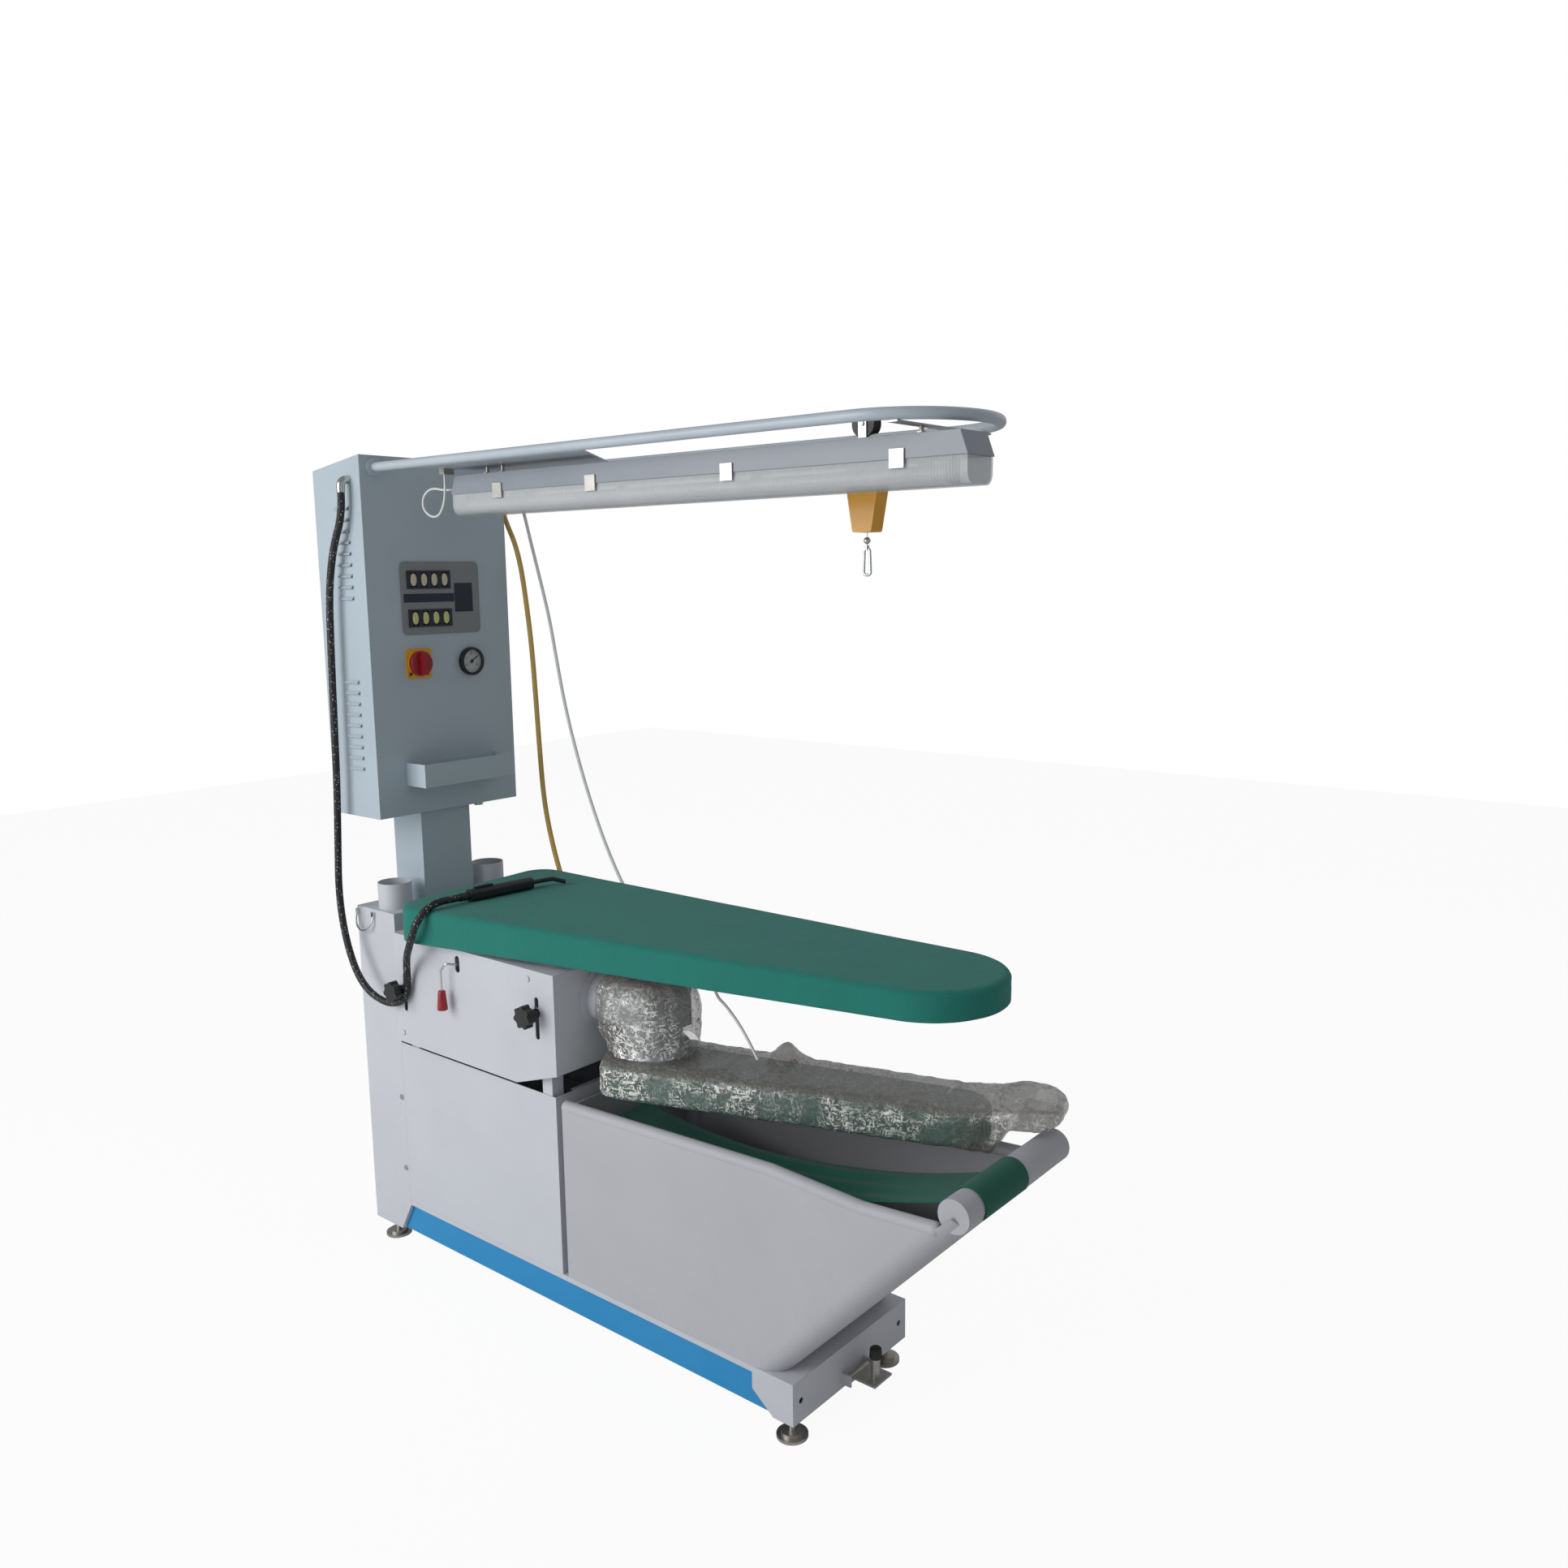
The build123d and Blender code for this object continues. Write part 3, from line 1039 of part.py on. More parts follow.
# Spring balancer: housing, drum, cable and the hook below its stop ball
balancer_x = TROLLEY_X + 1
drum_x = balancer_x + CABLE_RADIUS + FACE_GAP + DRUM_RADIUS
balancer_far = RAIL_HALF + BALANCER_THICKNESS / 2
with BuildPart() as balancer_housing:
    case_outline = (
        (balancer_x - 40, BALANCER_TOP - 15), (balancer_x - 26, BALANCER_TOP - 2),
        (balancer_x + 28, BALANCER_TOP - 2), (balancer_x + 42, BALANCER_TOP - 15),
        (balancer_x + 21, BALANCER_BOTTOM), (balancer_x - 21, BALANCER_BOTTOM),
    )
    prism(side(balancer_far), case_outline, BALANCER_THICKNESS)
    fillet(balancer_housing.edges().filter_by(Axis.Y), 5)
    lug_top = eye_z + EYE_PIN + 4
    slab((balancer_x - 8, balancer_x + 6), (RAIL_HALF - 6, RAIL_HALF + 6), (BALANCER_TOP - 4, lug_top))
    disc(side(RAIL_HALF + 7), (TROLLEY_X, eye_z), EYE_PIN + RUNNING_FIT, 14, Mode.SUBTRACT)
    disc(side(RAIL_HALF + 12), (drum_x, DRUM_HEIGHT), DRUM_RADIUS + 2 * CABLE_RADIUS + FACE_GAP, 24,
         Mode.SUBTRACT)
    disc(plan(BALANCER_BOTTOM), (balancer_x, RAIL_HALF), CABLE_RADIUS + 1.2,
         DRUM_HEIGHT - BALANCER_BOTTOM, Mode.SUBTRACT)
    disc(side(balancer_far - 6), (drum_x, DRUM_HEIGHT), 3 + RUNNING_FIT, BALANCER_THICKNESS - 12,
         Mode.SUBTRACT)
balancer_housing.part.label = "balancer_housing"
export_step(balancer_housing.part, "parts/balancer_housing.step")

with BuildPart() as balancer_drum:
    disc(side(RAIL_HALF + 12 - FACE_GAP), (drum_x, DRUM_HEIGHT), DRUM_RADIUS, 24 - 2 * FACE_GAP)
    disc(side(balancer_far - 6 - FACE_GAP), (drum_x, DRUM_HEIGHT), 3,
         BALANCER_THICKNESS - 12 - 2 * FACE_GAP)
balancer_drum.part.label = "balancer_drum"
export_step(balancer_drum.part, "parts/balancer_drum.step")

stop_centre = BALANCER_BOTTOM - 15
cable_foot = stop_centre + STOP_RADIUS - 0.5
with BuildPart() as balancer_cable:
    disc(plan(cable_foot), (balancer_x, RAIL_HALF), CABLE_RADIUS, DRUM_HEIGHT - cable_foot)
balancer_cable.part.label = "balancer_cable"
export_step(balancer_cable.part, "parts/balancer_cable.step")

with BuildPart() as snap_hook:
    with Locations(at(balancer_x, RAIL_HALF, stop_centre)):
        Sphere(STOP_RADIUS)
    disc(plan(cable_foot), (balancer_x, RAIL_HALF), STOP_RADIUS, STOP_RADIUS, Mode.SUBTRACT)
    link_top = stop_centre - STOP_RADIUS - 6
    disc(plan(link_top - HOOK_WIRE), (balancer_x, RAIL_HALF), 2, stop_centre - link_top)
    disc(plan(link_top - 5), (balancer_x, RAIL_HALF), 4, 8)
    hook_x = balancer_x
    link_low = HOOK_BOTTOM + HOOK_WIRE
    with BuildLine() as link:
        FilletPolyline(
            at(hook_x, RAIL_HALF, link_top - 3), at(hook_x + 6, RAIL_HALF, link_top - 4),
            at(hook_x + 8, RAIL_HALF, link_low), at(hook_x - 8, RAIL_HALF, link_low),
            at(hook_x - 6, RAIL_HALF, link_top - 4), radius=(2.4, 6, 6), close=False,
        )
    with BuildSketch(Plane(origin=link.line @ 0, z_dir=link.line % 0)) as rod:
        Circle(HOOK_WIRE)
    sweep(rod.sketch, path=link.line)
    slab((hook_x - 8, hook_x), (RAIL_HALF - 2, RAIL_HALF + 2), (link_top - 5, link_top - 1))
snap_hook.part.label = "snap_hook"
export_step(snap_hook.part, "parts/snap_hook.step")

# Foot pedal on the pin in front of the beam
PEDAL_PIN = 4
pedal_axis = (BEAM_FRONT + 13, 67)
with BuildPart() as foot_pedal:
    disc(side(36 - SLIDING_GAP), pedal_axis, PEDAL_PIN + 4, 68 - 2 * SLIDING_GAP)
    slab((pedal_axis[0], 1375), (-26, 30), (pedal_axis[1] + 2, pedal_axis[1] + 6))
    disc(plan(pedal_axis[1] + 6), (1357, 2), 8.5, 56)
    disc(side(36), pedal_axis, PEDAL_PIN + RUNNING_FIT, 68, Mode.SUBTRACT)
foot_pedal.part.label = "foot_pedal"
export_step(foot_pedal.part, "parts/foot_pedal.step")

# Star knobs on the near studs
for name, (stud_x, stud_z) in zip(("rear", "front"), STUD_PLACES):
    with BuildPart() as star_knob:
        hub_face = -HOOD_HALF - FACE_GAP
        disc(side(hub_face), (stud_x, stud_z), KNOB_HUB, hub_face - KNOB_STAR_BACK)
        disc(side(KNOB_STAR_BACK), (stud_x, stud_z), KNOB_STAR - 2, KNOB_THICKNESS)
        for lobe in range(KNOB_LOBES):
            way = radians(90 + 360 * lobe / KNOB_LOBES)
            spot = (stud_x + (KNOB_STAR - 3) * cos(way), stud_z + (KNOB_STAR - 3) * sin(way))
            disc(side(KNOB_STAR_BACK), spot, 5.5, KNOB_THICKNESS)
        stud_length = -KNOB_STAR_BACK - HOOD_HALF + KNOB_THICKNESS / 2
        disc(side(-HOOD_HALF), (stud_x, stud_z), STUD_RADIUS + RUNNING_FIT, stud_length + FACE_GAP,
             Mode.SUBTRACT)
    star_knob.part.label = f"star_knob_{name}"
    export_step(star_knob.part, f"parts/star_knob_{name}.step")

# Hood of the head, open below, with the height slots and the lever slot
with BuildPart() as head_housing:
    hood_outline = (
        (HOOD_X[0], HOOD_SIDE_BOTTOM), (HOOD_TOE, HOOD_SIDE_BOTTOM), (HOOD_X[1], HOOD_FRONT_BOTTOM),
        (HOOD_X[1], HOOD_TOP), (HOOD_X[0], HOOD_TOP),
    )
    prism(side(HOOD_HALF), hood_outline, 2 * HOOD_HALF)
    slab(
        (HOOD_X[0] + SHEET, HOOD_X[1] - SHEET), (SHEET - HOOD_HALF, HOOD_HALF - SHEET),
        (HOOD_SIDE_BOTTOM - SHEET, HOOD_TOP - SHEET), Mode.SUBTRACT,
    )
    for (stud_x, stud_z), (low, high) in zip(STUD_PLACES, SLOT_SPANS):
        with BuildSketch(side(HOOD_HALF)) as slot:
            with Locations((stud_x, (low + high) / 2)):
                SlotOverall(high - low, SLOT_WIDTH, rotation=90)
        extrude(slot.sketch, amount=2 * HOOD_HALF, mode=Mode.SUBTRACT)
    with BuildSketch(side(SHEET - HOOD_HALF)) as slot:
        with Locations((LEVER_X, sum(LEVER_SLOT) / 2)):
            SlotOverall(LEVER_SLOT[1] - LEVER_SLOT[0], LEVER_SLOT_WIDTH, rotation=90)
    extrude(slot.sketch, amount=SHEET, mode=Mode.SUBTRACT)
    disc(plan(HOOD_TOP - SHEET), (NECK_X, 0), NECK_RADIUS + FACE_GAP, SHEET, Mode.SUBTRACT)
    disc(front(HOOD_X[1] - SHEET), (PIVOT_Y, ELBOW_Z), ELBOW_RADIUS + FACE_GAP, SHEET, Mode.SUBTRACT)
    for ear in (LEVER_X - 16, LEVER_X + 12):
        slab((ear, ear + 4), (SHEET - HOOD_HALF, LEVER_PIVOT[0] + 10),
             (LEVER_PIVOT[1] - 10, LEVER_PIVOT[1] + 10))
    disc(front(LEVER_X - 17), LEVER_PIVOT, LEVER_PIN + RUNNING_FIT, 34, Mode.SUBTRACT)
    for screw in ((632, 770), (186, 558)):
        disc(side(-HOOD_HALF), screw, SCREW_HEAD, SCREW_PROUD)
    for end, hose in ((YELLOW_HOSE_ROUTE[-1], YELLOW_HOSE), (WHITE_CABLE_ROUTE[-1], WHITE_CABLE)):
        stem = hose / 2 + ELBOW_WALL
        elbow_z = end[2] - 26
        disc(side(HOOD_HALF - SHEET), (end[0], elbow_z), stem, HOOD_HALF - SHEET - end[1])
        disc(plan(elbow_z), (end[0], end[1]), stem, end[2] - elbow_z)
        with Locations(at(end[0], end[1], elbow_z)):
            Sphere(stem)
head_housing.part.label = "head_housing"
export_step(head_housing.part, "parts/head_housing.step")


def board_outline(inset):
    """Half-round nosed board seen from above, drawn inset from the cover's edge."""
    rear = BOARD_HALF_REAR - inset
    nose = BOARD_HALF_FRONT - inset
    nose_x = BOARD_LENGTH - BOARD_NOSE
    with BuildSketch(Plane.XY, mode=Mode.PRIVATE) as shape:
        with BuildLine():
            Polyline((nose_x, nose), (inset, rear), (inset, -rear), (nose_x, -nose))
            ThreePointArc((nose_x, -nose), (BOARD_LENGTH - inset, 0), (nose_x, nose))
        make_face()
        fillet(shape.vertices().group_by(Axis.X)[0], BOARD_CORNER - inset)
    return shape.sketch


def underside(x):
    """Height of the board's sloping underside."""
    (rear_x, rear_z), (nose_x, nose_z) = BOARD_UNDERSIDE
    return rear_z + (x - rear_x) * (nose_z - rear_z) / (nose_x - rear_x)


def cut_below(rise):
    """Cut away everything below the board's sloping underside."""
    (rear_x, rear_z), (nose_x, nose_z) = BOARD_UNDERSIDE
    wedge = ((rear_x - 60, rear_z + rise), (nose_x + 60, nose_z + rise), (nose_x + 60, 600),
             (rear_x - 60, 600))
    prism(side(400), wedge, 800, Mode.SUBTRACT)


# Suction chamber of the board with its neck and the side stub for the elbow
CHAMBER_RISE = 6
STUB_GAP = 10
BLEED_PORT = 12
chamber_top = BOARD_TOP - COVER_PAD - FACE_GAP
with BuildPart() as chamber_space:
    extrude(
        turned(BOARD_X, BOARD_Y, HOOD_TOP, BOARD_TURN) * board_outline(COVER_SIDE + FACE_GAP + SHEET),
        amount=chamber_top - HOOD_TOP - SHEET,
    )
    cut_below(CHAMBER_RISE + SHEET)

with BuildPart() as board_chamber:
    extrude(turned(BOARD_X, BOARD_Y, HOOD_TOP, BOARD_TURN) * board_outline(COVER_SIDE + FACE_GAP),
            amount=chamber_top - HOOD_TOP)
    cut_below(CHAMBER_RISE)
    disc(plan(NECK_BOTTOM), (NECK_X, 0), NECK_RADIUS,
         underside(NECK_X + NECK_RADIUS) + CHAMBER_RISE + 1 - NECK_BOTTOM)
    stub_x = NECK_X + STUB_GAP
    stub_length = ELBOW_START + 40 - stub_x
    disc(front(stub_x), (PIVOT_Y, ELBOW_Z), ELBOW_RADIUS + FACE_GAP + SHEET, stub_length)
    disc(front(stub_x + SHEET), (PIVOT_Y, ELBOW_Z), ELBOW_RADIUS + FACE_GAP, stub_length - SHEET,
         Mode.SUBTRACT)
    add(chamber_space.part, mode=Mode.SUBTRACT)
    disc(plan(NECK_BOTTOM), (NECK_X, 0), NECK_RADIUS - SHEET, chamber_top - SHEET - NECK_BOTTOM,
         Mode.SUBTRACT)
    disc(side(SHEET - NECK_RADIUS), (LEVER_X, LEVER_PIVOT[1]), BLEED_PORT, 2 * SHEET, Mode.SUBTRACT)
    for pad_x in (240, 600):
        for sign in (-1, 1):
            slab((pad_x, pad_x + 60), span(sign, 90, 150),
                 (HOOD_TOP, underside(pad_x + 60) + CHAMBER_RISE + 1))
board_chamber.part.label = "board_chamber"
export_step(board_chamber.part, "parts/board_chamber.step")

# Padded cover that wraps the board down to its hem
with BuildPart() as board_cover:
    hem_plane = turned(BOARD_X, BOARD_Y, BOARD_UNDERSIDE[0][1] - 4, BOARD_TURN)
    extrude(hem_plane * board_outline(0), amount=BOARD_TOP - BOARD_UNDERSIDE[0][1] + 4)
    fillet(board_cover.edges().group_by(Axis.Z)[-1], BOARD_EDGE_ROUND)
    cut_below(0)
    extrude(hem_plane * board_outline(COVER_SIDE),
            amount=BOARD_TOP - COVER_PAD - BOARD_UNDERSIDE[0][1] + 4,
            mode=Mode.SUBTRACT)
board_cover.part.label = "board_cover"
export_step(board_cover.part, "parts/board_cover.step")

# Air flap: pivot pin, valve pad, wire through the slot and the grip
with BuildPart() as flap_lever:
    pivot_y, pivot_z = LEVER_PIVOT
    disc(front(LEVER_X - 15.5), LEVER_PIVOT, LEVER_PIN, 31)
    slab((LEVER_X - 6, LEVER_X + 6), (pivot_y, -72), (pivot_z - 3, pivot_z + 3))
    slab((LEVER_X - 26, LEVER_X + 6), (-72, -68), (pivot_z - 18, pivot_z + 14))
    grip_x = LEVER_X - 30
    with BuildLine() as wire:
        FilletPolyline(
            at(LEVER_X, pivot_y, pivot_z), at(LEVER_X, -208, pivot_z + 2),
            at(LEVER_X - 14, -221, pivot_z + 4), at(grip_x, -222, pivot_z - 14),
            at(grip_x, -222, 696), radius=(8, 9, 9),
        )
    with BuildSketch(Plane(origin=wire.line @ 0, z_dir=wire.line % 0)) as section:
        Circle(WIRE_RADIUS)
    sweep(section.sketch, path=wire.line)
    with BuildSketch(plan(656)) as low_end:
        with Locations((grip_x, -222)):
            Circle(GRIP_RADIUS)
    with BuildSketch(plan(698)) as high_end:
        with Locations((grip_x, -222)):
            Circle(0.65 * GRIP_RADIUS)
    loft([low_end.sketch.face(), high_end.sketch.face()])
flap_lever.part.label = "flap_lever"
export_step(flap_lever.part, "parts/flap_lever.step")

# Elbow duct from the hood down to the sleeve arm
elbow_turn_x = PIVOT_X - ELBOW_BEND
elbow_end_z = ELBOW_Z - ELBOW_BEND
with BuildPart() as elbow_duct:
    with BuildLine() as bend:
        run = Line(at(ELBOW_START, PIVOT_Y, ELBOW_Z), at(elbow_turn_x, PIVOT_Y, ELBOW_Z))
        arc = ThreePointArc(
            run @ 1,
            at(elbow_turn_x + ELBOW_BEND * sin(radians(45)), PIVOT_Y,
               elbow_end_z + ELBOW_BEND * cos(radians(45))),
            at(PIVOT_X, PIVOT_Y, elbow_end_z),
        )
        Line(arc @ 1, at(PIVOT_X, PIVOT_Y, ARM_TOP - ARM_PAD + 2))
    with BuildSketch(Plane(origin=bend.line @ 0, z_dir=bend.line % 0)) as pipe:
        Circle(ELBOW_RADIUS)
        Circle(ELBOW_RADIUS - SHEET, mode=Mode.SUBTRACT)
    sweep(pipe.sketch, path=bend.line)
    ring(front(HOOD_X[1]), (PIVOT_Y, ELBOW_Z), ELBOW_RADIUS + 15, ELBOW_RADIUS - 1, 4)
    ring(plan(COLLAR_TOP + SLIDING_GAP), (PIVOT_X, PIVOT_Y), ELBOW_RADIUS + 11, ELBOW_RADIUS - 1, 5)
elbow_duct.part.label = "elbow_duct"
export_step(elbow_duct.part, "parts/elbow_duct.step")

# Protective film bunched round the elbow
DUCT_FILM = ((COLLAR_TOP + 12, 94), (700, 102), (750, 98), (786, 74))
FILM_SKIN = 1.5
film_places = [(PIVOT_X - 6, PIVOT_Y, z, radius) for z, radius in DUCT_FILM]


def film_loft(shrink, mode=Mode.ADD):
    """Loft the bunched film through its round sections."""
    sections = []
    for x, y, z, radius in film_places:
        with BuildSketch(plan(z)) as section:
            with Locations((x, y)):
                Circle(radius - shrink)
        sections.append(section.sketch.face())
    loft(sections, ruled=True, mode=mode)


with BuildPart() as duct_film:
    film_loft(0)
    film_loft(FILM_SKIN, Mode.SUBTRACT)
    film_top, top_radius = DUCT_FILM[-1]
    disc(plan(film_top - FILM_SKIN), (PIVOT_X - 6, PIVOT_Y), top_radius - 1, FILM_SKIN)
    disc(front(HOOD_X[1] + 5), (PIVOT_Y, ELBOW_Z), ELBOW_RADIUS + 1, elbow_turn_x - HOOD_X[1],
         Mode.SUBTRACT)
duct_film.part.label = "duct_film"
export_step(duct_film.part, "parts/duct_film.step")

# Spotting gun that lies on the board
GUN_RADIUS = 13
gun_z = BOARD_TOP + GUN_RADIUS + FACE_GAP
gun_butt = at(352, -151, gun_z)
gun_muzzle = at(368, 36, gun_z)
gun_way = (gun_muzzle - gun_butt).normalized()
with BuildPart() as spray_gun:
    butt_plane = Plane(origin=gun_butt, x_dir=(0, 0, 1), z_dir=gun_way)
    with BuildSketch(butt_plane) as butt:
        Circle(9)
    extrude(butt.sketch, amount=26)
    with BuildSketch(butt_plane.offset(24)) as grip:
        RectangleRounded(2 * GUN_RADIUS, 2 * GUN_RADIUS, 9)
    extrude(grip.sketch, amount=(gun_muzzle - gun_butt).length - 24)
    slab_plane = butt_plane.offset(38)
    with BuildSketch(slab_plane) as trigger:
        with Locations((GUN_RADIUS + 2, 0)):
            Rectangle(6, 9)
    extrude(trigger.sketch, amount=46)
    with BuildLine() as barrel:
        FilletPolyline(
            gun_muzzle - gun_way * 2, gun_muzzle + gun_way * 30, at(384, 88, gun_z + 2),
            at(400, 112, BOARD_TOP + 6),
            radius=(14, 14),
        )
    with BuildSketch(Plane(origin=barrel.line @ 0, z_dir=barrel.line % 0)) as bar:
        Circle(5)
    sweep(bar.sketch, path=barrel.line)
spray_gun.part.label = "spray_gun"
export_step(spray_gun.part, "parts/spray_gun.step")


def arm_outline(inset):
    """Sleeve board seen from above in its own frame, with the pivot at the origin."""
    nose_x = ARM_NOSE - ARM_HALF_FRONT
    rear = ARM_HALF_REAR - inset
    nose = ARM_HALF_FRONT - inset
    with BuildSketch(Plane.XY, mode=Mode.PRIVATE) as shape:
        with BuildLine():
            Polyline((nose_x, nose), (inset - ARM_REAR, rear), (inset - ARM_REAR, -rear),
                     (nose_x, -nose))
            ThreePointArc((nose_x, -nose), (ARM_NOSE - inset, 0), (nose_x, nose))
        make_face()
        fillet(shape.vertices().group_by(Axis.X)[0], 50 - inset)
    return shape.sketch


def arm_plane(height):
    """Plan plane of the sleeve arm, turned about its pivot."""
    return turned(PIVOT_X, PIVOT_Y, height, ARM_TURN)


# Sleeve board: hollow core with the collar that turns on the elbow
core_top = ARM_TOP - ARM_PAD - FACE_GAP
collar_in = ELBOW_RADIUS + RUNNING_FIT
collar_out = ELBOW_RADIUS + 7
with BuildPart() as sleeve_buck:
    extrude(arm_plane(ARM_BOTTOM) * arm_outline(ARM_PAD + FACE_GAP), amount=core_top - ARM_BOTTOM)
    extrude(arm_plane(ARM_BOTTOM + TUBE_WALL) * arm_outline(ARM_PAD + FACE_GAP + TUBE_WALL),
            amount=core_top - ARM_BOTTOM - 2 * TUBE_WALL, mode=Mode.SUBTRACT)
    disc(plan(core_top - TUBE_WALL), (PIVOT_X, PIVOT_Y), collar_out, COLLAR_TOP - core_top + TUBE_WALL)
    disc(plan(core_top - TUBE_WALL), (PIVOT_X, PIVOT_Y), collar_in,
         COLLAR_TOP - core_top + TUBE_WALL, Mode.SUBTRACT)
sleeve_buck.part.label = "sleeve_buck"
export_step(sleeve_buck.part, "parts/sleeve_buck.step")

# Its padded cover
with BuildPart() as sleeve_cover:
    extrude(arm_plane(ARM_BOTTOM) * arm_outline(0), amount=ARM_TOP - ARM_BOTTOM)
    fillet(sleeve_cover.edges().group_by(Axis.Z)[-1], 12)
    extrude(arm_plane(ARM_BOTTOM) * arm_outline(ARM_PAD), amount=core_top - ARM_BOTTOM + FACE_GAP,
            mode=Mode.SUBTRACT)
    disc(plan(core_top), (PIVOT_X, PIVOT_Y), collar_out + FACE_GAP, ARM_TOP - core_top, Mode.SUBTRACT)
sleeve_cover.part.label = "sleeve_cover"
export_step(sleeve_cover.part, "parts/sleeve_cover.step")

# Film round the sleeve arm, with its loose end past the nose
FILM_ROOM = 14
LOOSE_Z = (596, 654)


def film_skin(shrink, mode=Mode.ADD):
    """Outer or inner shape of the film: the wrapped board and the loose end."""
    body_height = FILM_TOP - FILM_BOTTOM - 2 * shrink
    extrude(arm_plane(FILM_BOTTOM + shrink) * arm_outline(shrink - FILM_ROOM), amount=body_height,
            mode=mode)
    with BuildSketch(Plane.XY, mode=Mode.PRIVATE) as tail:
        with BuildLine():
            Polyline((600, 58 - shrink), (600, shrink - 58), (FILM_LOOSE_END - 40, shrink - 40))
            ThreePointArc((FILM_LOOSE_END - 40, shrink - 40), (FILM_LOOSE_END - shrink, 0),
                          (FILM_LOOSE_END - 40, 40 - shrink))
            Line((FILM_LOOSE_END - 40, 40 - shrink), (600, 58 - shrink))
        make_face()
    extrude(arm_plane(LOOSE_Z[0] + shrink) * tail.sketch,
            amount=LOOSE_Z[1] - LOOSE_Z[0] - 2 * shrink, mode=mode)


with BuildPart() as sleeve_film:
    film_skin(0)
    film_skin(FILM_SKIN, Mode.SUBTRACT)
    disc(plan(FILM_TOP - FILM_SKIN), (PIVOT_X, PIVOT_Y), collar_out + FACE_GAP, FILM_SKIN, Mode.SUBTRACT)
sleeve_film.part.label = "sleeve_film"
export_step(sleeve_film.part, "parts/sleeve_film.step")

# Cords
for name, route, thickness in (
    ("gun_hose", GUN_HOSE_ROUTE, GUN_HOSE),
    ("yellow_hose", YELLOW_HOSE_ROUTE, YELLOW_HOSE),
    ("white_cable", WHITE_CABLE_ROUTE, WHITE_CABLE),
    ("lamp_lead", LAMP_LEAD_ROUTE, LAMP_LEAD),
):
    print(name)
    tube = cord(route, thickness)
    tube.part.label = name
    export_step(tube.part, f"parts/{name}.step")
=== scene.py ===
"""Looks of the vacuum ironing table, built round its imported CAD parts.

Lengths are metres in the part's own frame: +X towards the nose of the board, +Y away from the
operator and +Z up from the floor.
"""

import logging
import math
from dataclasses import dataclass
from enum import Enum
from typing import Callable, Iterable, Sequence

import bmesh
import bpy
from mathutils import Matrix, Vector, noise


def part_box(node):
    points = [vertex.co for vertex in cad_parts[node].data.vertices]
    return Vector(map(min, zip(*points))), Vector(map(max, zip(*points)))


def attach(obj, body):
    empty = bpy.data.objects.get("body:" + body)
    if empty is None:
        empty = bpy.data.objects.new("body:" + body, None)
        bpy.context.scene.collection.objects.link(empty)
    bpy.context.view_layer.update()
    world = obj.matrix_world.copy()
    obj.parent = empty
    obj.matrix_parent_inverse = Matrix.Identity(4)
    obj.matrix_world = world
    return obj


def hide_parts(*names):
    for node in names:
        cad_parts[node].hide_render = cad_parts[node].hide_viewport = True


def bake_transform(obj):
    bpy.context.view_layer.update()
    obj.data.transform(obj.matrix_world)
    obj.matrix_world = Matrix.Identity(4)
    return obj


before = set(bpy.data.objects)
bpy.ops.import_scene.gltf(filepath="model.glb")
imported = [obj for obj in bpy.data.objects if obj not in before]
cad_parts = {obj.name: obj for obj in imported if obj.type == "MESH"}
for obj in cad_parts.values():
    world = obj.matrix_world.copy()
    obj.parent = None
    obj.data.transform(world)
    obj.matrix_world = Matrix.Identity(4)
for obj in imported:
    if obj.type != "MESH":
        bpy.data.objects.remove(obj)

LOG = logging.getLogger("ironing_table")
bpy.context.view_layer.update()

MACHINE_X = 808
MACHINE_Y = -3
SMOOTH_ANGLE = 40
BEVEL_ANGLE = 35
EDGE_WEAR_RADIUS = 0.0014
FILM_TOP_HAZE = 0.84
# Painted highlights on the film: share of the white glints kept where it lies level, and their colour.
FILM_TOP_PAINTED_GLINT = 0.16
FILM_PAINTED_GLINT_COLOUR = (0.86, 0.86, 0.82, 1)

Colour = tuple[float, float, float]
Place = tuple[float, float, float]
Outline = list[tuple[float, float]]


class Look(Enum):
    """The kinds of surface that the machine shows."""

    PAINT = "paint"
    MOULDING = "moulding"
    GLOSSY = "glossy"
    METAL = "metal"
    CLOTH = "cloth"
    BRAID = "braid"
    FILM = "film"
    FROSTED = "frosted"
    GLASS = "glass"


@dataclass(frozen=True)
class Finish:
    """One finish: what it is, its colour and how it varies over the surface.

    Attributes:
        name: Name of the material.
        look: The kind of surface.
        colour: Linear base colour.
        roughness: Middle of the roughness.
        mottle: How far the colour wanders, from 0 to 1.
        grain: Patches of the colour per metre.
        relief: Strength of the fine bump.
        fine: Fine bumps per metre.
        stain: Strength of the dusty marks.
        opacity: How much a film or diffuser hides, from 0 to 1.
    """

    name: str
    look: Look
    colour: Colour
    roughness: float = 0.45
    mottle: float = 0.06
    grain: float = 9.0
    relief: float = 0.08
    fine: float = 700.0
    stain: float = 0.0
    opacity: float = 1.0

    def material(self) -> bpy.types.Material:
        """Return the material of this finish, built on its first use."""
        name = self.name + "_look"
        known = bpy.data.materials.get(name)
        return known if known else MaterialBuilder(self, name).build()


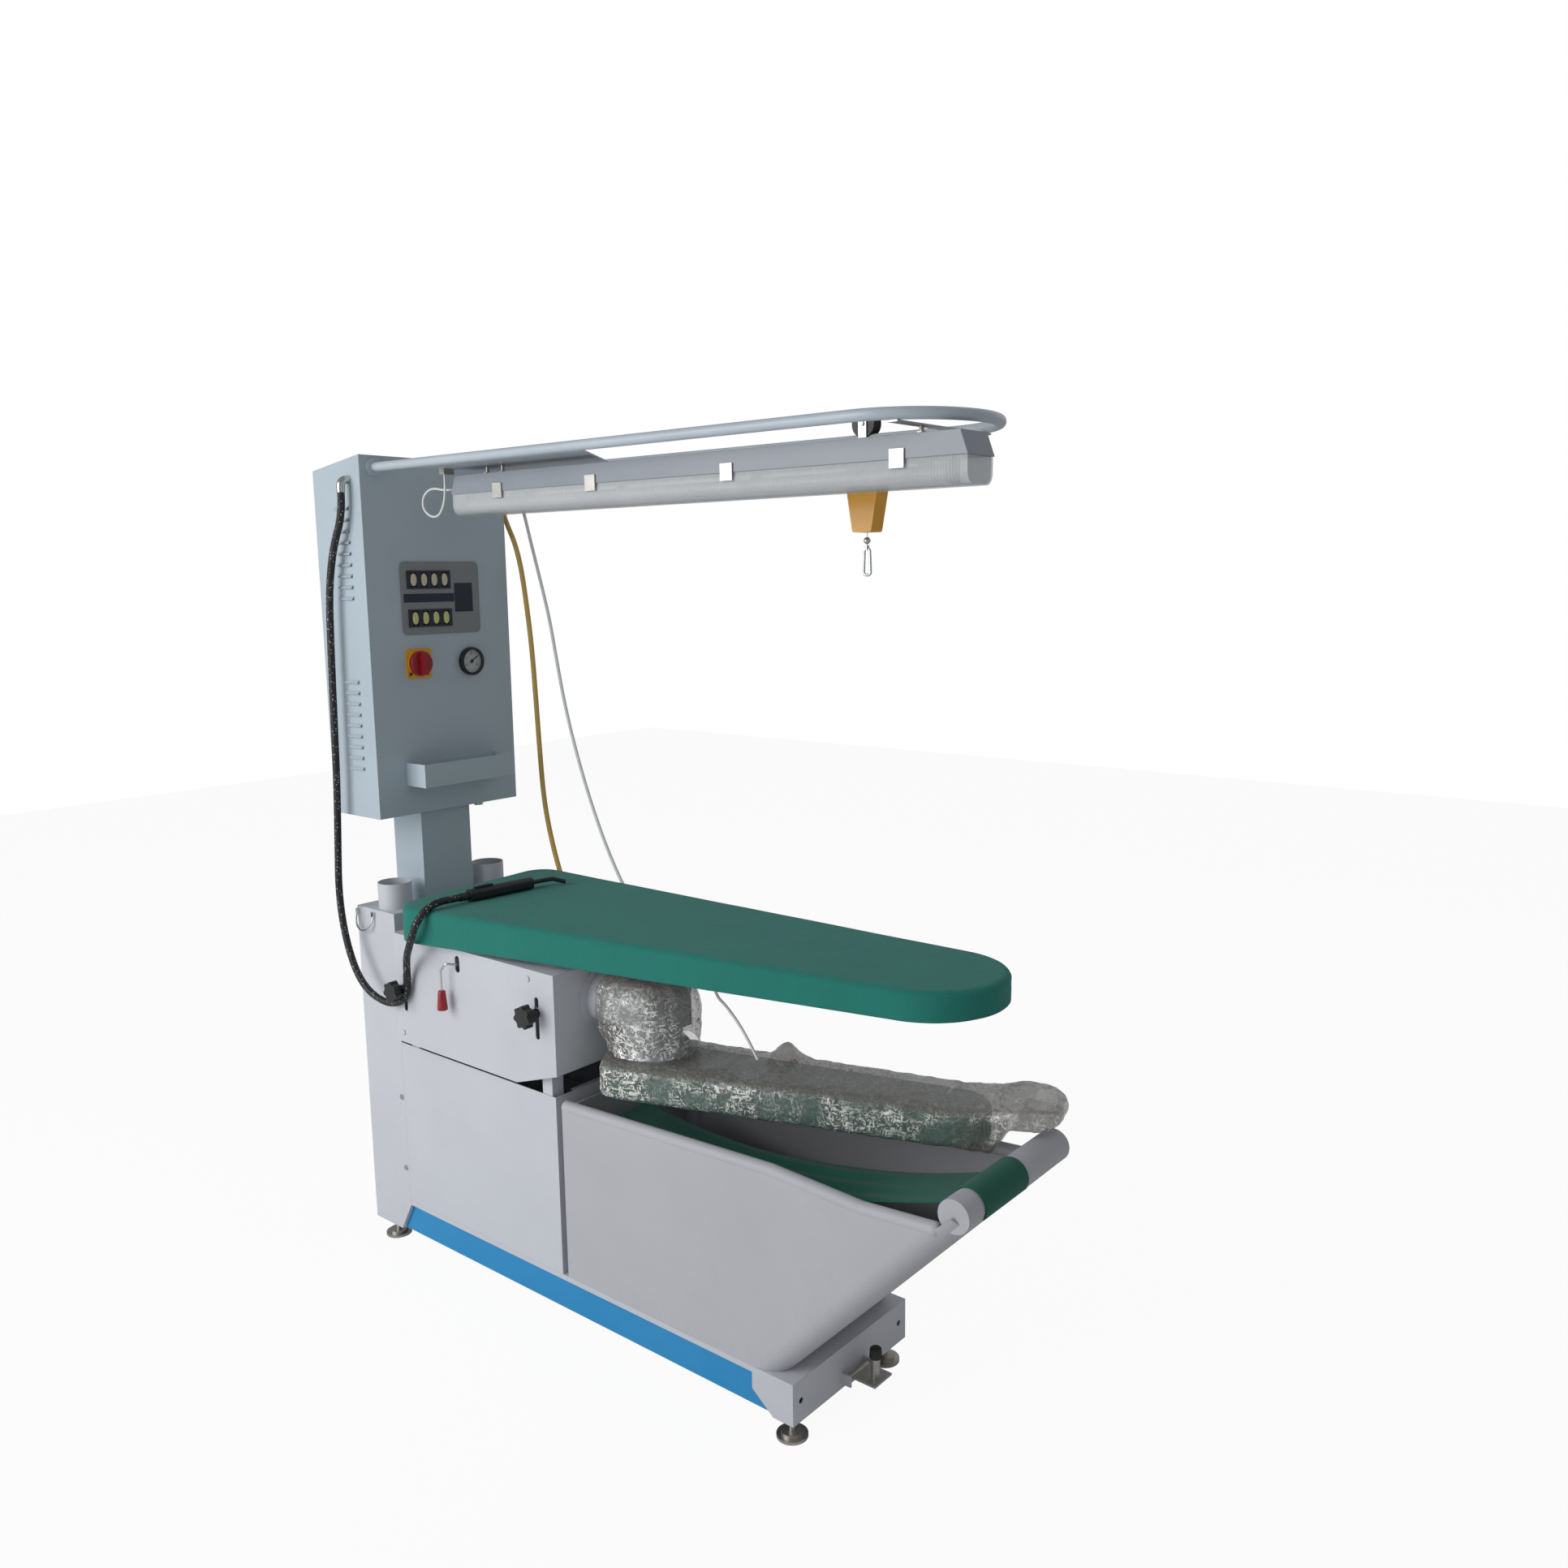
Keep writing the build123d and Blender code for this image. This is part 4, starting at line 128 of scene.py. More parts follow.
def surface_group() -> bpy.types.NodeTree:
    """Return the shared group that mottles, stains and roughens a colour.

    Returns:
        The node group with its colour, roughness and height outputs.
    """
    known = bpy.data.node_groups.get("worn_surface")
    if known:
        return known
    tree = bpy.data.node_groups.new("worn_surface", "ShaderNodeTree")
    for name, kind, value in (
        ("Place", "NodeSocketVector", None), ("Colour", "NodeSocketColor", (0.5, 0.5, 0.5, 1)),
        ("Roughness", "NodeSocketFloat", 0.45), ("Mottle", "NodeSocketFloat", 0.06),
        ("Grain", "NodeSocketFloat", 9.0), ("Fine", "NodeSocketFloat", 700.0),
        ("Stain", "NodeSocketFloat", 0.0),
    ):
        made = tree.interface.new_socket(name=name, in_out="INPUT", socket_type=kind)
        if value is not None:
            made.default_value = value
    for name, kind in (
        ("Colour", "NodeSocketColor"), ("Roughness", "NodeSocketFloat"), ("Height", "NodeSocketFloat"),
    ):
        tree.interface.new_socket(name=name, in_out="OUTPUT", socket_type=kind)
    new, link = tree.nodes.new, tree.links.new
    given, given_back = new("NodeGroupInput"), new("NodeGroupOutput")
    patches = new("ShaderNodeTexNoise")
    patches.inputs["Detail"].default_value = 5
    link(given.outputs["Place"], patches.inputs["Vector"])
    link(given.outputs["Grain"], patches.inputs["Scale"])
    swing = new("ShaderNodeMath")
    swing.operation = "MULTIPLY_ADD"
    swing.inputs[2].default_value = 1.0
    centred = new("ShaderNodeMath")
    centred.operation = "SUBTRACT"
    centred.inputs[1].default_value = 0.5
    link(patches.outputs["Fac"], centred.inputs[0])
    link(centred.outputs[0], swing.inputs[0])
    doubled = new("ShaderNodeMath")
    doubled.operation = "MULTIPLY"
    doubled.inputs[1].default_value = 3.0
    link(given.outputs["Mottle"], doubled.inputs[0])
    link(doubled.outputs[0], swing.inputs[1])
    shade = new("ShaderNodeVectorMath")
    shade.operation = "SCALE"
    link(given.outputs["Colour"], shade.inputs[0])
    link(swing.outputs[0], shade.inputs["Scale"])
    streaks = new("ShaderNodeTexNoise")
    streaks.inputs["Scale"].default_value = 3.1
    streaks.inputs["Detail"].default_value = 9
    streaks.inputs["Roughness"].default_value = 0.68
    link(given.outputs["Place"], streaks.inputs["Vector"])
    cut = new("ShaderNodeMapRange")
    cut.inputs["From Min"].default_value = 0.52
    cut.inputs["From Max"].default_value = 0.74
    link(streaks.outputs["Fac"], cut.inputs["Value"])
    amount = new("ShaderNodeMath")
    amount.operation = "MULTIPLY"
    link(cut.outputs["Result"], amount.inputs[0])
    link(given.outputs["Stain"], amount.inputs[1])
    dusty = new("ShaderNodeMix")
    dusty.data_type = "RGBA"
    dusty.inputs["B"].default_value = (0.30, 0.28, 0.24, 1)
    link(amount.outputs[0], dusty.inputs["Factor"])
    link(shade.outputs[0], dusty.inputs["A"])
    link(dusty.outputs["Result"], given_back.inputs["Colour"])
    rough = new("ShaderNodeMath")
    rough.operation = "MULTIPLY_ADD"
    rough.inputs[1].default_value = 0.22
    link(centred.outputs[0], rough.inputs[0])
    link(given.outputs["Roughness"], rough.inputs[2])
    link(rough.outputs[0], given_back.inputs["Roughness"])
    peel = new("ShaderNodeTexNoise")
    peel.inputs["Detail"].default_value = 3
    link(given.outputs["Place"], peel.inputs["Vector"])
    link(given.outputs["Fine"], peel.inputs["Scale"])
    link(peel.outputs["Fac"], given_back.inputs["Height"])
    return tree


def weave_group() -> bpy.types.NodeTree:
    """Return the shared group that crosses two sets of threads.

    Returns:
        The node group with its height and shade outputs.
    """
    known = bpy.data.node_groups.get("plain_weave")
    if known:
        return known
    tree = bpy.data.node_groups.new("plain_weave", "ShaderNodeTree")
    tree.interface.new_socket(name="Place", in_out="INPUT", socket_type="NodeSocketVector")
    threads = tree.interface.new_socket(name="Threads", in_out="INPUT", socket_type="NodeSocketFloat")
    threads.default_value = 420.0
    tree.interface.new_socket(name="Height", in_out="OUTPUT", socket_type="NodeSocketFloat")
    new, link = tree.nodes.new, tree.links.new
    given, given_back = new("NodeGroupInput"), new("NodeGroupOutput")
    sets = []
    for direction in ("X", "Y", "Z"):
        wave = new("ShaderNodeTexWave")
        wave.bands_direction = direction
        wave.inputs["Distortion"].default_value = 1.2
        wave.inputs["Detail"].default_value = 1
        link(given.outputs["Place"], wave.inputs["Vector"])
        link(given.outputs["Threads"], wave.inputs["Scale"])
        sets.append(wave)
    crossed = new("ShaderNodeMath")
    crossed.operation = "MULTIPLY"
    link(sets[0].outputs["Fac"], crossed.inputs[0])
    link(sets[1].outputs["Fac"], crossed.inputs[1])
    total = new("ShaderNodeMath")
    total.operation = "MULTIPLY_ADD"
    total.inputs[1].default_value = 0.35
    link(sets[2].outputs["Fac"], total.inputs[0])
    link(crossed.outputs[0], total.inputs[2])
    link(total.outputs[0], given_back.inputs["Height"])
    return tree


class MaterialBuilder:
    """Builds the node material of one finish."""

    def __init__(self, finish: Finish, name: str) -> None:
        """Start an empty material of that name for the finish."""
        self.finish = finish
        self.made = bpy.data.materials.new(name)
        self.made.use_nodes = True
        self.tree = self.made.node_tree
        self.shader = self.tree.nodes["Principled BSDF"]
        self.place = self.tree.nodes.new("ShaderNodeTexCoord").outputs["Object"]

    def build(self) -> bpy.types.Material:
        """Wire the finish and return its material."""
        steps: dict[Look, Callable[[], None]] = {
            Look.METAL: self.metal, Look.CLOTH: self.cloth, Look.BRAID: self.braid,
            Look.FILM: self.film, Look.FROSTED: self.frosted, Look.GLASS: self.glass,
            Look.GLOSSY: self.glossy,
        }
        if self.finish.look is not Look.GLASS:
            self.worn()
        steps.get(self.finish.look, lambda: None)()
        self.made.diffuse_color = (*self.finish.colour, 1)
        return self.made

    def worn(self) -> None:
        """Feed colour, roughness and fine bump from the shared group."""
        group = self.tree.nodes.new("ShaderNodeGroup")
        group.node_tree = surface_group()
        finish = self.finish
        for name, value in (
            ("Colour", (*finish.colour, 1)), ("Roughness", finish.roughness), ("Mottle", finish.mottle),
            ("Grain", finish.grain), ("Fine", finish.fine), ("Stain", finish.stain),
        ):
            group.inputs[name].default_value = value
        link = self.tree.links.new
        link(self.place, group.inputs["Place"])
        link(group.outputs["Colour"], self.shader.inputs["Base Color"])
        link(group.outputs["Roughness"], self.shader.inputs["Roughness"])
        if finish.look in (Look.PAINT, Look.MOULDING):
            edge = self.tree.nodes.new("ShaderNodeBevel")
            edge.samples = 4
            edge.inputs["Radius"].default_value = EDGE_WEAR_RADIUS
            link(edge.outputs["Normal"], self.shader.inputs["Normal"])
        self.bump(group.outputs["Height"], finish.relief, 0.0004)

    def bump(self, height: bpy.types.NodeSocket, strength: float, distance: float) -> bpy.types.Node:
        """Add a bump to the surface, on top of any bump already there.

        Args:
            height: Socket that gives the height.
            strength: Strength of the bump.
            distance: Height of the bump in metres.

        Returns:
            The bump node.
        """
        node = self.tree.nodes.new("ShaderNodeBump")
        node.inputs["Strength"].default_value = strength
        node.inputs["Distance"].default_value = distance
        self.tree.links.new(height, node.inputs["Height"])
        before = self.shader.inputs["Normal"].links
        if before:
            self.tree.links.new(before[0].from_socket, node.inputs["Normal"])
        self.tree.links.new(node.outputs["Normal"], self.shader.inputs["Normal"])
        return node

    def rough_noise(self, scale: float, detail: float = 4.0, distortion: float = 0.0) -> bpy.types.NodeSocket:
        """Return the value of a noise over the surface."""
        node = self.tree.nodes.new("ShaderNodeTexNoise")
        node.inputs["Scale"].default_value = scale
        node.inputs["Detail"].default_value = detail
        node.inputs["Distortion"].default_value = distortion
        self.tree.links.new(self.place, node.inputs["Vector"])
        return node.outputs["Fac"]

    def metal(self) -> None:
        """Make the surface bare metal."""
        self.shader.inputs["Metallic"].default_value = 1.0

    def glossy(self) -> None:
        """Give the surface a thin clear coat."""
        self.shader.inputs["Coat Weight"].default_value = 0.25
        self.shader.inputs["Coat Roughness"].default_value = 0.12

    def cloth(self) -> None:
        """Weave the surface and let it rumple softly."""
        weave = self.tree.nodes.new("ShaderNodeGroup")
        weave.node_tree = weave_group()
        self.tree.links.new(self.place, weave.inputs["Place"])
        self.bump(weave.outputs["Height"], 0.5, 0.0004)
        self.bump(self.rough_noise(14.0, 5.0, 0.6), 0.35, 0.006)
        self.shader.inputs["Sheen Weight"].default_value = 0.12
        self.shader.inputs["Sheen Roughness"].default_value = 0.5
        self.shader.inputs["Specular IOR Level"].default_value = 0.25

    def braid(self) -> None:
        """Cross the surface with light flecks of a braid."""
        cells = self.tree.nodes.new("ShaderNodeTexVoronoi")
        cells.inputs["Scale"].default_value = 150.0
        self.tree.links.new(self.place, cells.inputs["Vector"])
        flecks = self.ramp(cells.outputs["Distance"], (0.16, (0.42, 0.42, 0.42, 1)), (0.24, (*self.finish.colour, 1)))
        self.tree.links.new(flecks, self.shader.inputs["Base Color"])
        self.bump(cells.outputs["Distance"], 0.6, 0.0008)

    def film(self) -> None:
        """Make a crinkled clear film: a beige haze on top, and painted white highlights (glints) on the sides of its
        folds.
        """
        lying = self.facing_up()
        level = self.streaks((46.0, 46.0, 120.0), 1.8)
        leaning = self.streaks((115.0, 80.0, 58.0), 2.6)
        patches = self.ramp(
            self.rough_noise(12.0, 4.0, 0.6), (0.34, (0.12, 0.12, 0.12, 1)), (0.52, (1, 1, 1, 1)),
        )
        # Painted highlights: white glints where the stretched streaks fall inside the patches.
        painted_glint = self.mathematics("MULTIPLY", self.mathematics("MAXIMUM", level, leaning), patches)
        # The painted glints show in full where the film stands and only in part where it lies level.
        painted_glint_shown = self.mathematics("MULTIPLY", painted_glint, self.between(lying, 1.0, FILM_TOP_PAINTED_GLINT))
        # Opacity: the haze, denser where the film lies level, raised where the painted glints fall.
        cover = self.mathematics("MAXIMUM", self.between(lying, self.finish.opacity, FILM_TOP_HAZE), painted_glint_shown)
        self.tree.links.new(cover, self.shader.inputs["Alpha"])
        # Colour: the film's beige, turned to the painted white of the glints where they fall.
        tint = self.tree.nodes.new("ShaderNodeMix")
        tint.data_type = "RGBA"
        tint.inputs["A"].default_value = (*self.finish.colour, 1)
        tint.inputs["B"].default_value = FILM_PAINTED_GLINT_COLOUR
        self.tree.links.new(painted_glint_shown, tint.inputs["Factor"])
        self.tree.links.new(tint.outputs["Result"], self.shader.inputs["Base Color"])
        self.bump(level, 0.5, 0.002)
        self.bump(self.rough_noise(48.0, 5.0, 1.2), 0.9, 0.006)
        self.shader.inputs["Coat Weight"].default_value = 1.0
        self.shader.inputs["Coat Roughness"].default_value = 0.08

    def facing_up(self) -> bpy.types.NodeSocket:
        """Return a mask that is 1 where the surface lies level and 0 where it stands."""
        facing = self.tree.nodes.new("ShaderNodeNewGeometry")
        parts = self.tree.nodes.new("ShaderNodeSeparateXYZ")
        self.tree.links.new(facing.outputs["Normal"], parts.inputs[0])
        mask = self.tree.nodes.new("ShaderNodeMapRange")
        mask.inputs["From Min"].default_value = 0.35
        mask.inputs["From Max"].default_value = 0.85
        self.tree.links.new(parts.outputs["Z"], mask.inputs["Value"])
        return mask.outputs["Result"]

    def between(self, mask: bpy.types.NodeSocket, off: float, on: float) -> bpy.types.NodeSocket:
        """Return a value that goes from off to on as the mask goes from 0 to 1."""
        node = self.tree.nodes.new("ShaderNodeMapRange")
        node.inputs["To Min"].default_value = off
        node.inputs["To Max"].default_value = on
        self.tree.links.new(mask, node.inputs["Value"])
        return node.outputs["Result"]

    def streaks(self, scale: Place, distortion: float) -> bpy.types.NodeSocket:
        """Return thin streaks of a noise that is stretched by its scale.

        Args:
            scale: Waves per metre along each axis.
            distortion: How far the streaks wander.

        Returns:
            The mask of the streaks.
        """
        stretch = self.tree.nodes.new("ShaderNodeVectorMath")
        stretch.operation = "MULTIPLY"
        stretch.inputs[1].default_value = scale
        self.tree.links.new(self.place, stretch.inputs[0])
        wander = self.tree.nodes.new("ShaderNodeTexNoise")
        wander.inputs["Scale"].default_value = 1.0
        wander.inputs["Detail"].default_value = 4
        wander.inputs["Distortion"].default_value = distortion
        self.tree.links.new(stretch.outputs[0], wander.inputs["Vector"])
        return self.ramp(wander.outputs["Fac"], (0.515, (0, 0, 0, 1)), (0.60, (1, 1, 1, 1)))

    def mathematics(
        self, operation: str, first: bpy.types.NodeSocket, second: bpy.types.NodeSocket,
    ) -> bpy.types.NodeSocket:
        """Return what a maths operation gives for two sockets."""
        node = self.tree.nodes.new("ShaderNodeMath")
        node.operation = operation
        self.tree.links.new(first, node.inputs[0])
        self.tree.links.new(second, node.inputs[1])
        return node.outputs[0]

    def ramp(self, value: bpy.types.NodeSocket, low: tuple, high: tuple) -> bpy.types.NodeSocket:
        """Return a two-colour ramp of a value.

        Args:
            value: Socket that gives the value.
            low: Position and colour of the first stop.
            high: Position and colour of the second stop.

        Returns:
            The colour output.
        """
        node = self.tree.nodes.new("ShaderNodeValToRGB")
        for stop, (position, colour) in zip(node.color_ramp.elements, (low, high)):
            stop.position = position
            stop.color = colour
        self.tree.links.new(value, node.inputs["Fac"])
        return node.outputs["Color"]

    def frosted(self) -> None:
        """Make a see-through moulded diffuser with fine ribs."""
        ribs = self.tree.nodes.new("ShaderNodeTexWave")
        ribs.bands_direction = "X"
        ribs.inputs["Scale"].default_value = 55.0
        self.tree.links.new(self.place, ribs.inputs["Vector"])
        self.bump(ribs.outputs["Fac"], 0.4, 0.0015)
        self.shader.inputs["Alpha"].default_value = self.finish.opacity

    def glass(self) -> None:
        """Make clear glass."""
        self.shader.inputs["Base Color"].default_value = (*self.finish.colour, 1)
        self.shader.inputs["Roughness"].default_value = self.finish.roughness
        self.shader.inputs["Transmission Weight"].default_value = 1.0
        self.shader.inputs["IOR"].default_value = 1.3
        self.bump(self.rough_noise(60.0), 0.02, 0.0002)


GREY_PAINT = Finish("grey_powder_coat", Look.PAINT, (0.59, 0.60, 0.64), 0.42, 0.04, 5.0, 0.10, 900.0, 0.08)
PALE_BLUE = Finish("pale_blue_paint", Look.PAINT, (0.45, 0.525, 0.575), 0.40, 0.04, 4.0, 0.10, 900.0, 0.06)
RAIL_PAINT = Finish("rail_paint", Look.PAINT, (0.50, 0.56, 0.61), 0.36, 0.05, 7.0, 0.08, 900.0, 0.10)
DULL_PAINT = Finish("dull_grey_paint", Look.PAINT, (0.24, 0.245, 0.25), 0.5, 0.05, 12.0, 0.10, 700.0, 0.10)
BRIGHT_BLUE = Finish("bright_blue_paint", Look.PAINT, (0.010, 0.26, 0.56), 0.40, 0.05, 6.0, 0.08, 900.0, 0.05)
GREY_MOULDING = Finish("grey_moulding", Look.MOULDING, (0.49, 0.49, 0.515), 0.55, 0.07, 3.2, 0.10, 420.0, 0.22)
BARE_CASTING = Finish("bare_casting", Look.METAL, (0.50, 0.50, 0.52), 0.48, 0.10, 30.0, 0.35, 350.0, 0.20)
ZINC = Finish("zinc_plate", Look.METAL, (0.52, 0.50, 0.46), 0.40, 0.16, 60.0, 0.12, 900.0, 0.25)
BRIGHT_WIRE = Finish("bright_wire", Look.METAL, (0.62, 0.62, 0.62), 0.22, 0.06, 80.0, 0.04, 900.0, 0.08)
BLACK_RUBBER = Finish("black_rubber", Look.MOULDING, (0.014, 0.014, 0.015), 0.62, 0.20, 40.0, 0.25, 500.0, 0.05)
BLACK_PLASTIC = Finish("black_plastic", Look.MOULDING, (0.012, 0.012, 0.014), 0.42, 0.15, 25.0, 0.12, 800.0, 0.04)
NAVY_PLASTIC = Finish("navy_window", Look.GLOSSY, (0.008, 0.012, 0.035), 0.28, 0.10, 20.0, 0.04, 800.0)
BROWN_MOULDING = Finish("brown_moulding", Look.MOULDING, (0.10, 0.05, 0.03), 0.5, 0.1, 20.0, 0.1, 600.0, 0.1)
CREAM_KEY = Finish("cream_key", Look.GLOSSY, (0.66, 0.58, 0.38), 0.34, 0.05, 60.0, 0.04, 800.0)
LIME_KEY = Finish("lime_key", Look.GLOSSY, (0.62, 0.62, 0.22), 0.34, 0.05, 60.0, 0.04, 800.0)
YELLOW_PLASTIC = Finish("yellow_plastic", Look.GLOSSY, (0.80, 0.37, 0.012), 0.38, 0.06, 30.0, 0.06, 700.0, 0.08)
YELLOW_HOSE = Finish("yellow_hose_skin", Look.GLOSSY, (0.62, 0.40, 0.09), 0.42, 0.06, 20.0, 0.05, 600.0, 0.08)
RED_PLASTIC = Finish("red_plastic", Look.GLOSSY, (0.32, 0.008, 0.016), 0.36, 0.06, 40.0, 0.05, 800.0)
WHITE_PLASTIC = Finish("white_plastic", Look.GLOSSY, (0.74, 0.74, 0.72), 0.38, 0.04, 25.0, 0.05, 700.0, 0.06)
LAMP_PAINT = Finish("lamp_grey", Look.PAINT, (0.27, 0.295, 0.33), 0.34, 0.05, 8.0, 0.06, 900.0, 0.12)
DIFFUSER = Finish("ribbed_diffuser", Look.FROSTED, (0.66, 0.68, 0.69), 0.22, 0.04, 10.0, 0.05, 600.0, 0.0, 0.5)
TUBE_WHITE = Finish("tube_white", Look.GLOSSY, (0.86, 0.86, 0.85), 0.25, 0.02, 10.0, 0.02, 800.0)
GREEN_COVER = Finish("green_cover_cloth", Look.CLOTH, (0.016, 0.205, 0.165), 0.85, 0.08, 7.0, 0.10, 600.0, 0.0)
GREEN_SLING = Finish("green_sling_cloth", Look.CLOTH, (0.010, 0.120, 0.078), 0.80, 0.10, 12.0, 0.10, 600.0, 0.0)
CLEAR_FILM = Finish("clear_film", Look.FILM, (0.215, 0.195, 0.170), 0.18, 0.05, 20.0, 0.05, 500.0, 0.0, 0.46)
HOSE_BRAID = Finish("braided_hose", Look.BRAID, (0.012, 0.012, 0.013), 0.55, 0.10, 30.0, 0.10, 500.0)
DIAL_WHITE = Finish("dial_white", Look.PAINT, (0.80, 0.80, 0.78), 0.5, 0.02, 40.0, 0.02, 900.0)
DIAL_INK = Finish("dial_ink", Look.PAINT, (0.02, 0.02, 0.025), 0.5, 0.02, 40.0, 0.02, 900.0)
GAUGE_GLASS = Finish("gauge_glass", Look.GLASS, (0.97, 0.97, 0.97), 0.03)

CAD_FINISHES: dict[Finish, tuple[str, ...]] = {
    GREY_PAINT: (
        "base_frame", "rear_post", "side_panels", "cabinet_bulkhead", "head_housing", "board_chamber",
        "elbow_duct", "sleeve_buck", "box_back_cover",
    ),
    PALE_BLUE: ("control_box", "support_column", "tool_tray"),
    RAIL_PAINT: ("rail_hoop",),
    DULL_PAINT: ("key_panel",),
    BRIGHT_BLUE: ("kick_panels",),
    GREY_MOULDING: ("catch_basin",),
    BARE_CASTING: ("blower_housing", "blower_motor", "blower_impeller"),
    ZINC: ("levelling_feet", "panel_screws", "lamp_fittings", "trolley_strap", "foot_pedal"),
    BRIGHT_WIRE: ("hose_fittings", "balancer_cable", "snap_hook", "flap_lever"),
    BROWN_MOULDING: ("contactor_rail",),
    BLACK_PLASTIC: ("gauge_case", "gauge_needle", "trolley_wheel", "star_knob_rear", "star_knob_front", "spray_gun"),
    NAVY_PLASTIC: ("rocker_frames",),
    CREAM_KEY: ("rocker_1", "rocker_2", "rocker_3", "rocker_4"),
    LIME_KEY: ("rocker_5", "rocker_6", "rocker_7", "rocker_8"),
    YELLOW_PLASTIC: ("switch_plate", "balancer_housing"),
    RED_PLASTIC: ("switch_knob",),
    WHITE_PLASTIC: ("balancer_drum", "white_cable", "lamp_lead"),
    YELLOW_HOSE: ("yellow_hose",),
    HOSE_BRAID: ("gun_hose",),
    GREEN_COVER: ("board_cover", "sleeve_cover"),
    GREEN_SLING: ("catch_cloth",),
    CLEAR_FILM: ("duct_film", "sleeve_film"),
    LAMP_PAINT: ("lamp_body",),
    DIFFUSER: ("lamp_diffuser",),
    TUBE_WHITE: ("lamp_tube",),
}


def place(x: float, y: float, z: float) -> Vector:
    """Return a frame place from millimetres off the rear post, its middle and the floor."""
    return Vector(((x - MACHINE_X) / 1000, (y - MACHINE_Y) / 1000, z / 1000))


def deselect() -> None:
    """Leave object mode and deselect everything."""
    if bpy.context.object and bpy.context.object.mode != "OBJECT":
        bpy.ops.object.mode_set(mode="OBJECT")
    bpy.ops.object.select_all(action="DESELECT")


def pick(thing: bpy.types.Object) -> None:
    """Select one object alone and make it the active one."""
    deselect()
    thing.select_set(True)
    bpy.context.view_layer.objects.active = thing


def bake(thing: bpy.types.Object) -> bpy.types.Object:
    """Move the place, turn and size of an object into its mesh."""
    pick(thing)
    bpy.ops.object.transform_apply(location=True, rotation=True, scale=True)
    return thing


def soften(thing: bpy.types.Object, width: float, segments: int = 3) -> bpy.types.Object:
    """Bevel the sharp edges of an object and shade it smooth.

    Args:
        thing: Object with a closed mesh.
        width: Width of the bevel in metres.
        segments: Number of faces across the bevel.

    Returns:
        The same object.
    """
    if width > 0:
        bevel = thing.modifiers.new("edges", "BEVEL")
        bevel.width = width
        bevel.segments = segments
        bevel.limit_method = "ANGLE"
        bevel.angle_limit = math.radians(BEVEL_ANGLE)
        pick(thing)
        bpy.ops.object.modifier_apply(modifier=bevel.name)
    pick(thing)
    bpy.ops.object.shade_smooth_by_angle(angle=math.radians(SMOOTH_ANGLE))
    return thing


def block(name: str, low: Vector, high: Vector, edge: float = 0.001) -> bpy.types.Object:
    """Return a box between two corners with softened edges."""
    deselect()
    bpy.ops.mesh.primitive_cube_add(size=1, location=(low + high) / 2)
    made = bpy.context.object
    made.name = name
    made.scale = high - low
    return soften(bake(made), edge)


def rod(name: str, start: Vector, end: Vector, radius: float, end_radius: float | None = None,
        edge: float = 0.0, sides: int = 48) -> bpy.types.Object:
    """Return a rod or cone between two places.

    Args:
        name: Name of the object.
        start: Middle of the first end.
        end: Middle of the second end.
        radius: Radius at the first end.
        end_radius: Radius at the second end, if it differs.
        edge: Width of the bevel round the ends.
        sides: Number of sides.

    Returns:
        The new object.
    """
    deselect()
    way = end - start
    bpy.ops.mesh.primitive_cone_add(
        vertices=sides, radius1=radius, radius2=radius if end_radius is None else end_radius,
        depth=way.length, location=(start + end) / 2, rotation=way.to_track_quat("Z", "Y").to_euler(),
    )
    made = bpy.context.object
    made.name = name
    return soften(bake(made), edge)


def hoop(name: str, centre: Vector, axis: Vector, major: float, minor: float) -> bpy.types.Object:
    """Return a ring about an axis."""
    deselect()
    bpy.ops.mesh.primitive_torus_add(
        location=centre, rotation=axis.to_track_quat("Z", "Y").to_euler(), major_radius=major,
        minor_radius=minor, major_segments=64, minor_segments=16,
    )
    made = bpy.context.object
    made.name = name
    return soften(bake(made), 0)


def tube(name: str, route: Sequence[Vector], diameter: float) -> tuple[bpy.types.Object, list[Place]]:
    """Return a round tube along a smooth route, and the middle line that it follows.

    Args:
        name: Name of the object.
        route: Places that steer the middle line.
        diameter: Diameter of the tube.

    Returns:
        The tube as a mesh, and the places of its middle line.
    """
    curve = bpy.data.curves.new(name, "CURVE")
    curve.dimensions = "3D"
    curve.bevel_resolution = 5
    curve.resolution_u = 10
    curve.use_fill_caps = True
    line = curve.splines.new("NURBS")
    line.points.add(len(route) - 1)
    for point, spot in zip(line.points, route):
        point.co = (*spot, 1)
    line.order_u = 3
    line.use_endpoint_u = True
    made = bpy.data.objects.new(name, curve)
    bpy.context.scene.collection.objects.link(made)
    bpy.context.view_layer.update()
    bare = made.to_mesh()
    path = [tuple(vertex.co) for vertex in bare.vertices]
    made.to_mesh_clear()
    curve.bevel_depth = diameter / 2
    pick(made)
    bpy.ops.object.convert(target="MESH")
    made = bpy.context.object
    made.name = name
    return soften(made, 0), path


def mesh_object(name: str, points: Sequence[Place], faces: Sequence[Sequence[int]]) -> bpy.types.Object:
    """Return an object from places and faces, with its normals turned outwards."""
    data = bpy.data.meshes.new(name)
    data.from_pydata([tuple(point) for point in points], [], [tuple(face) for face in faces])
    shape = bmesh.new()
    shape.from_mesh(data)
    bmesh.ops.remove_doubles(shape, verts=shape.verts, dist=0.00002)
    bmesh.ops.recalc_face_normals(shape, faces=shape.faces)
    for face in shape.faces:
        face.smooth = True
    shape.to_mesh(data)
    shape.free()
    made = bpy.data.objects.new(name, data)
    bpy.context.scene.collection.objects.link(made)
    return made


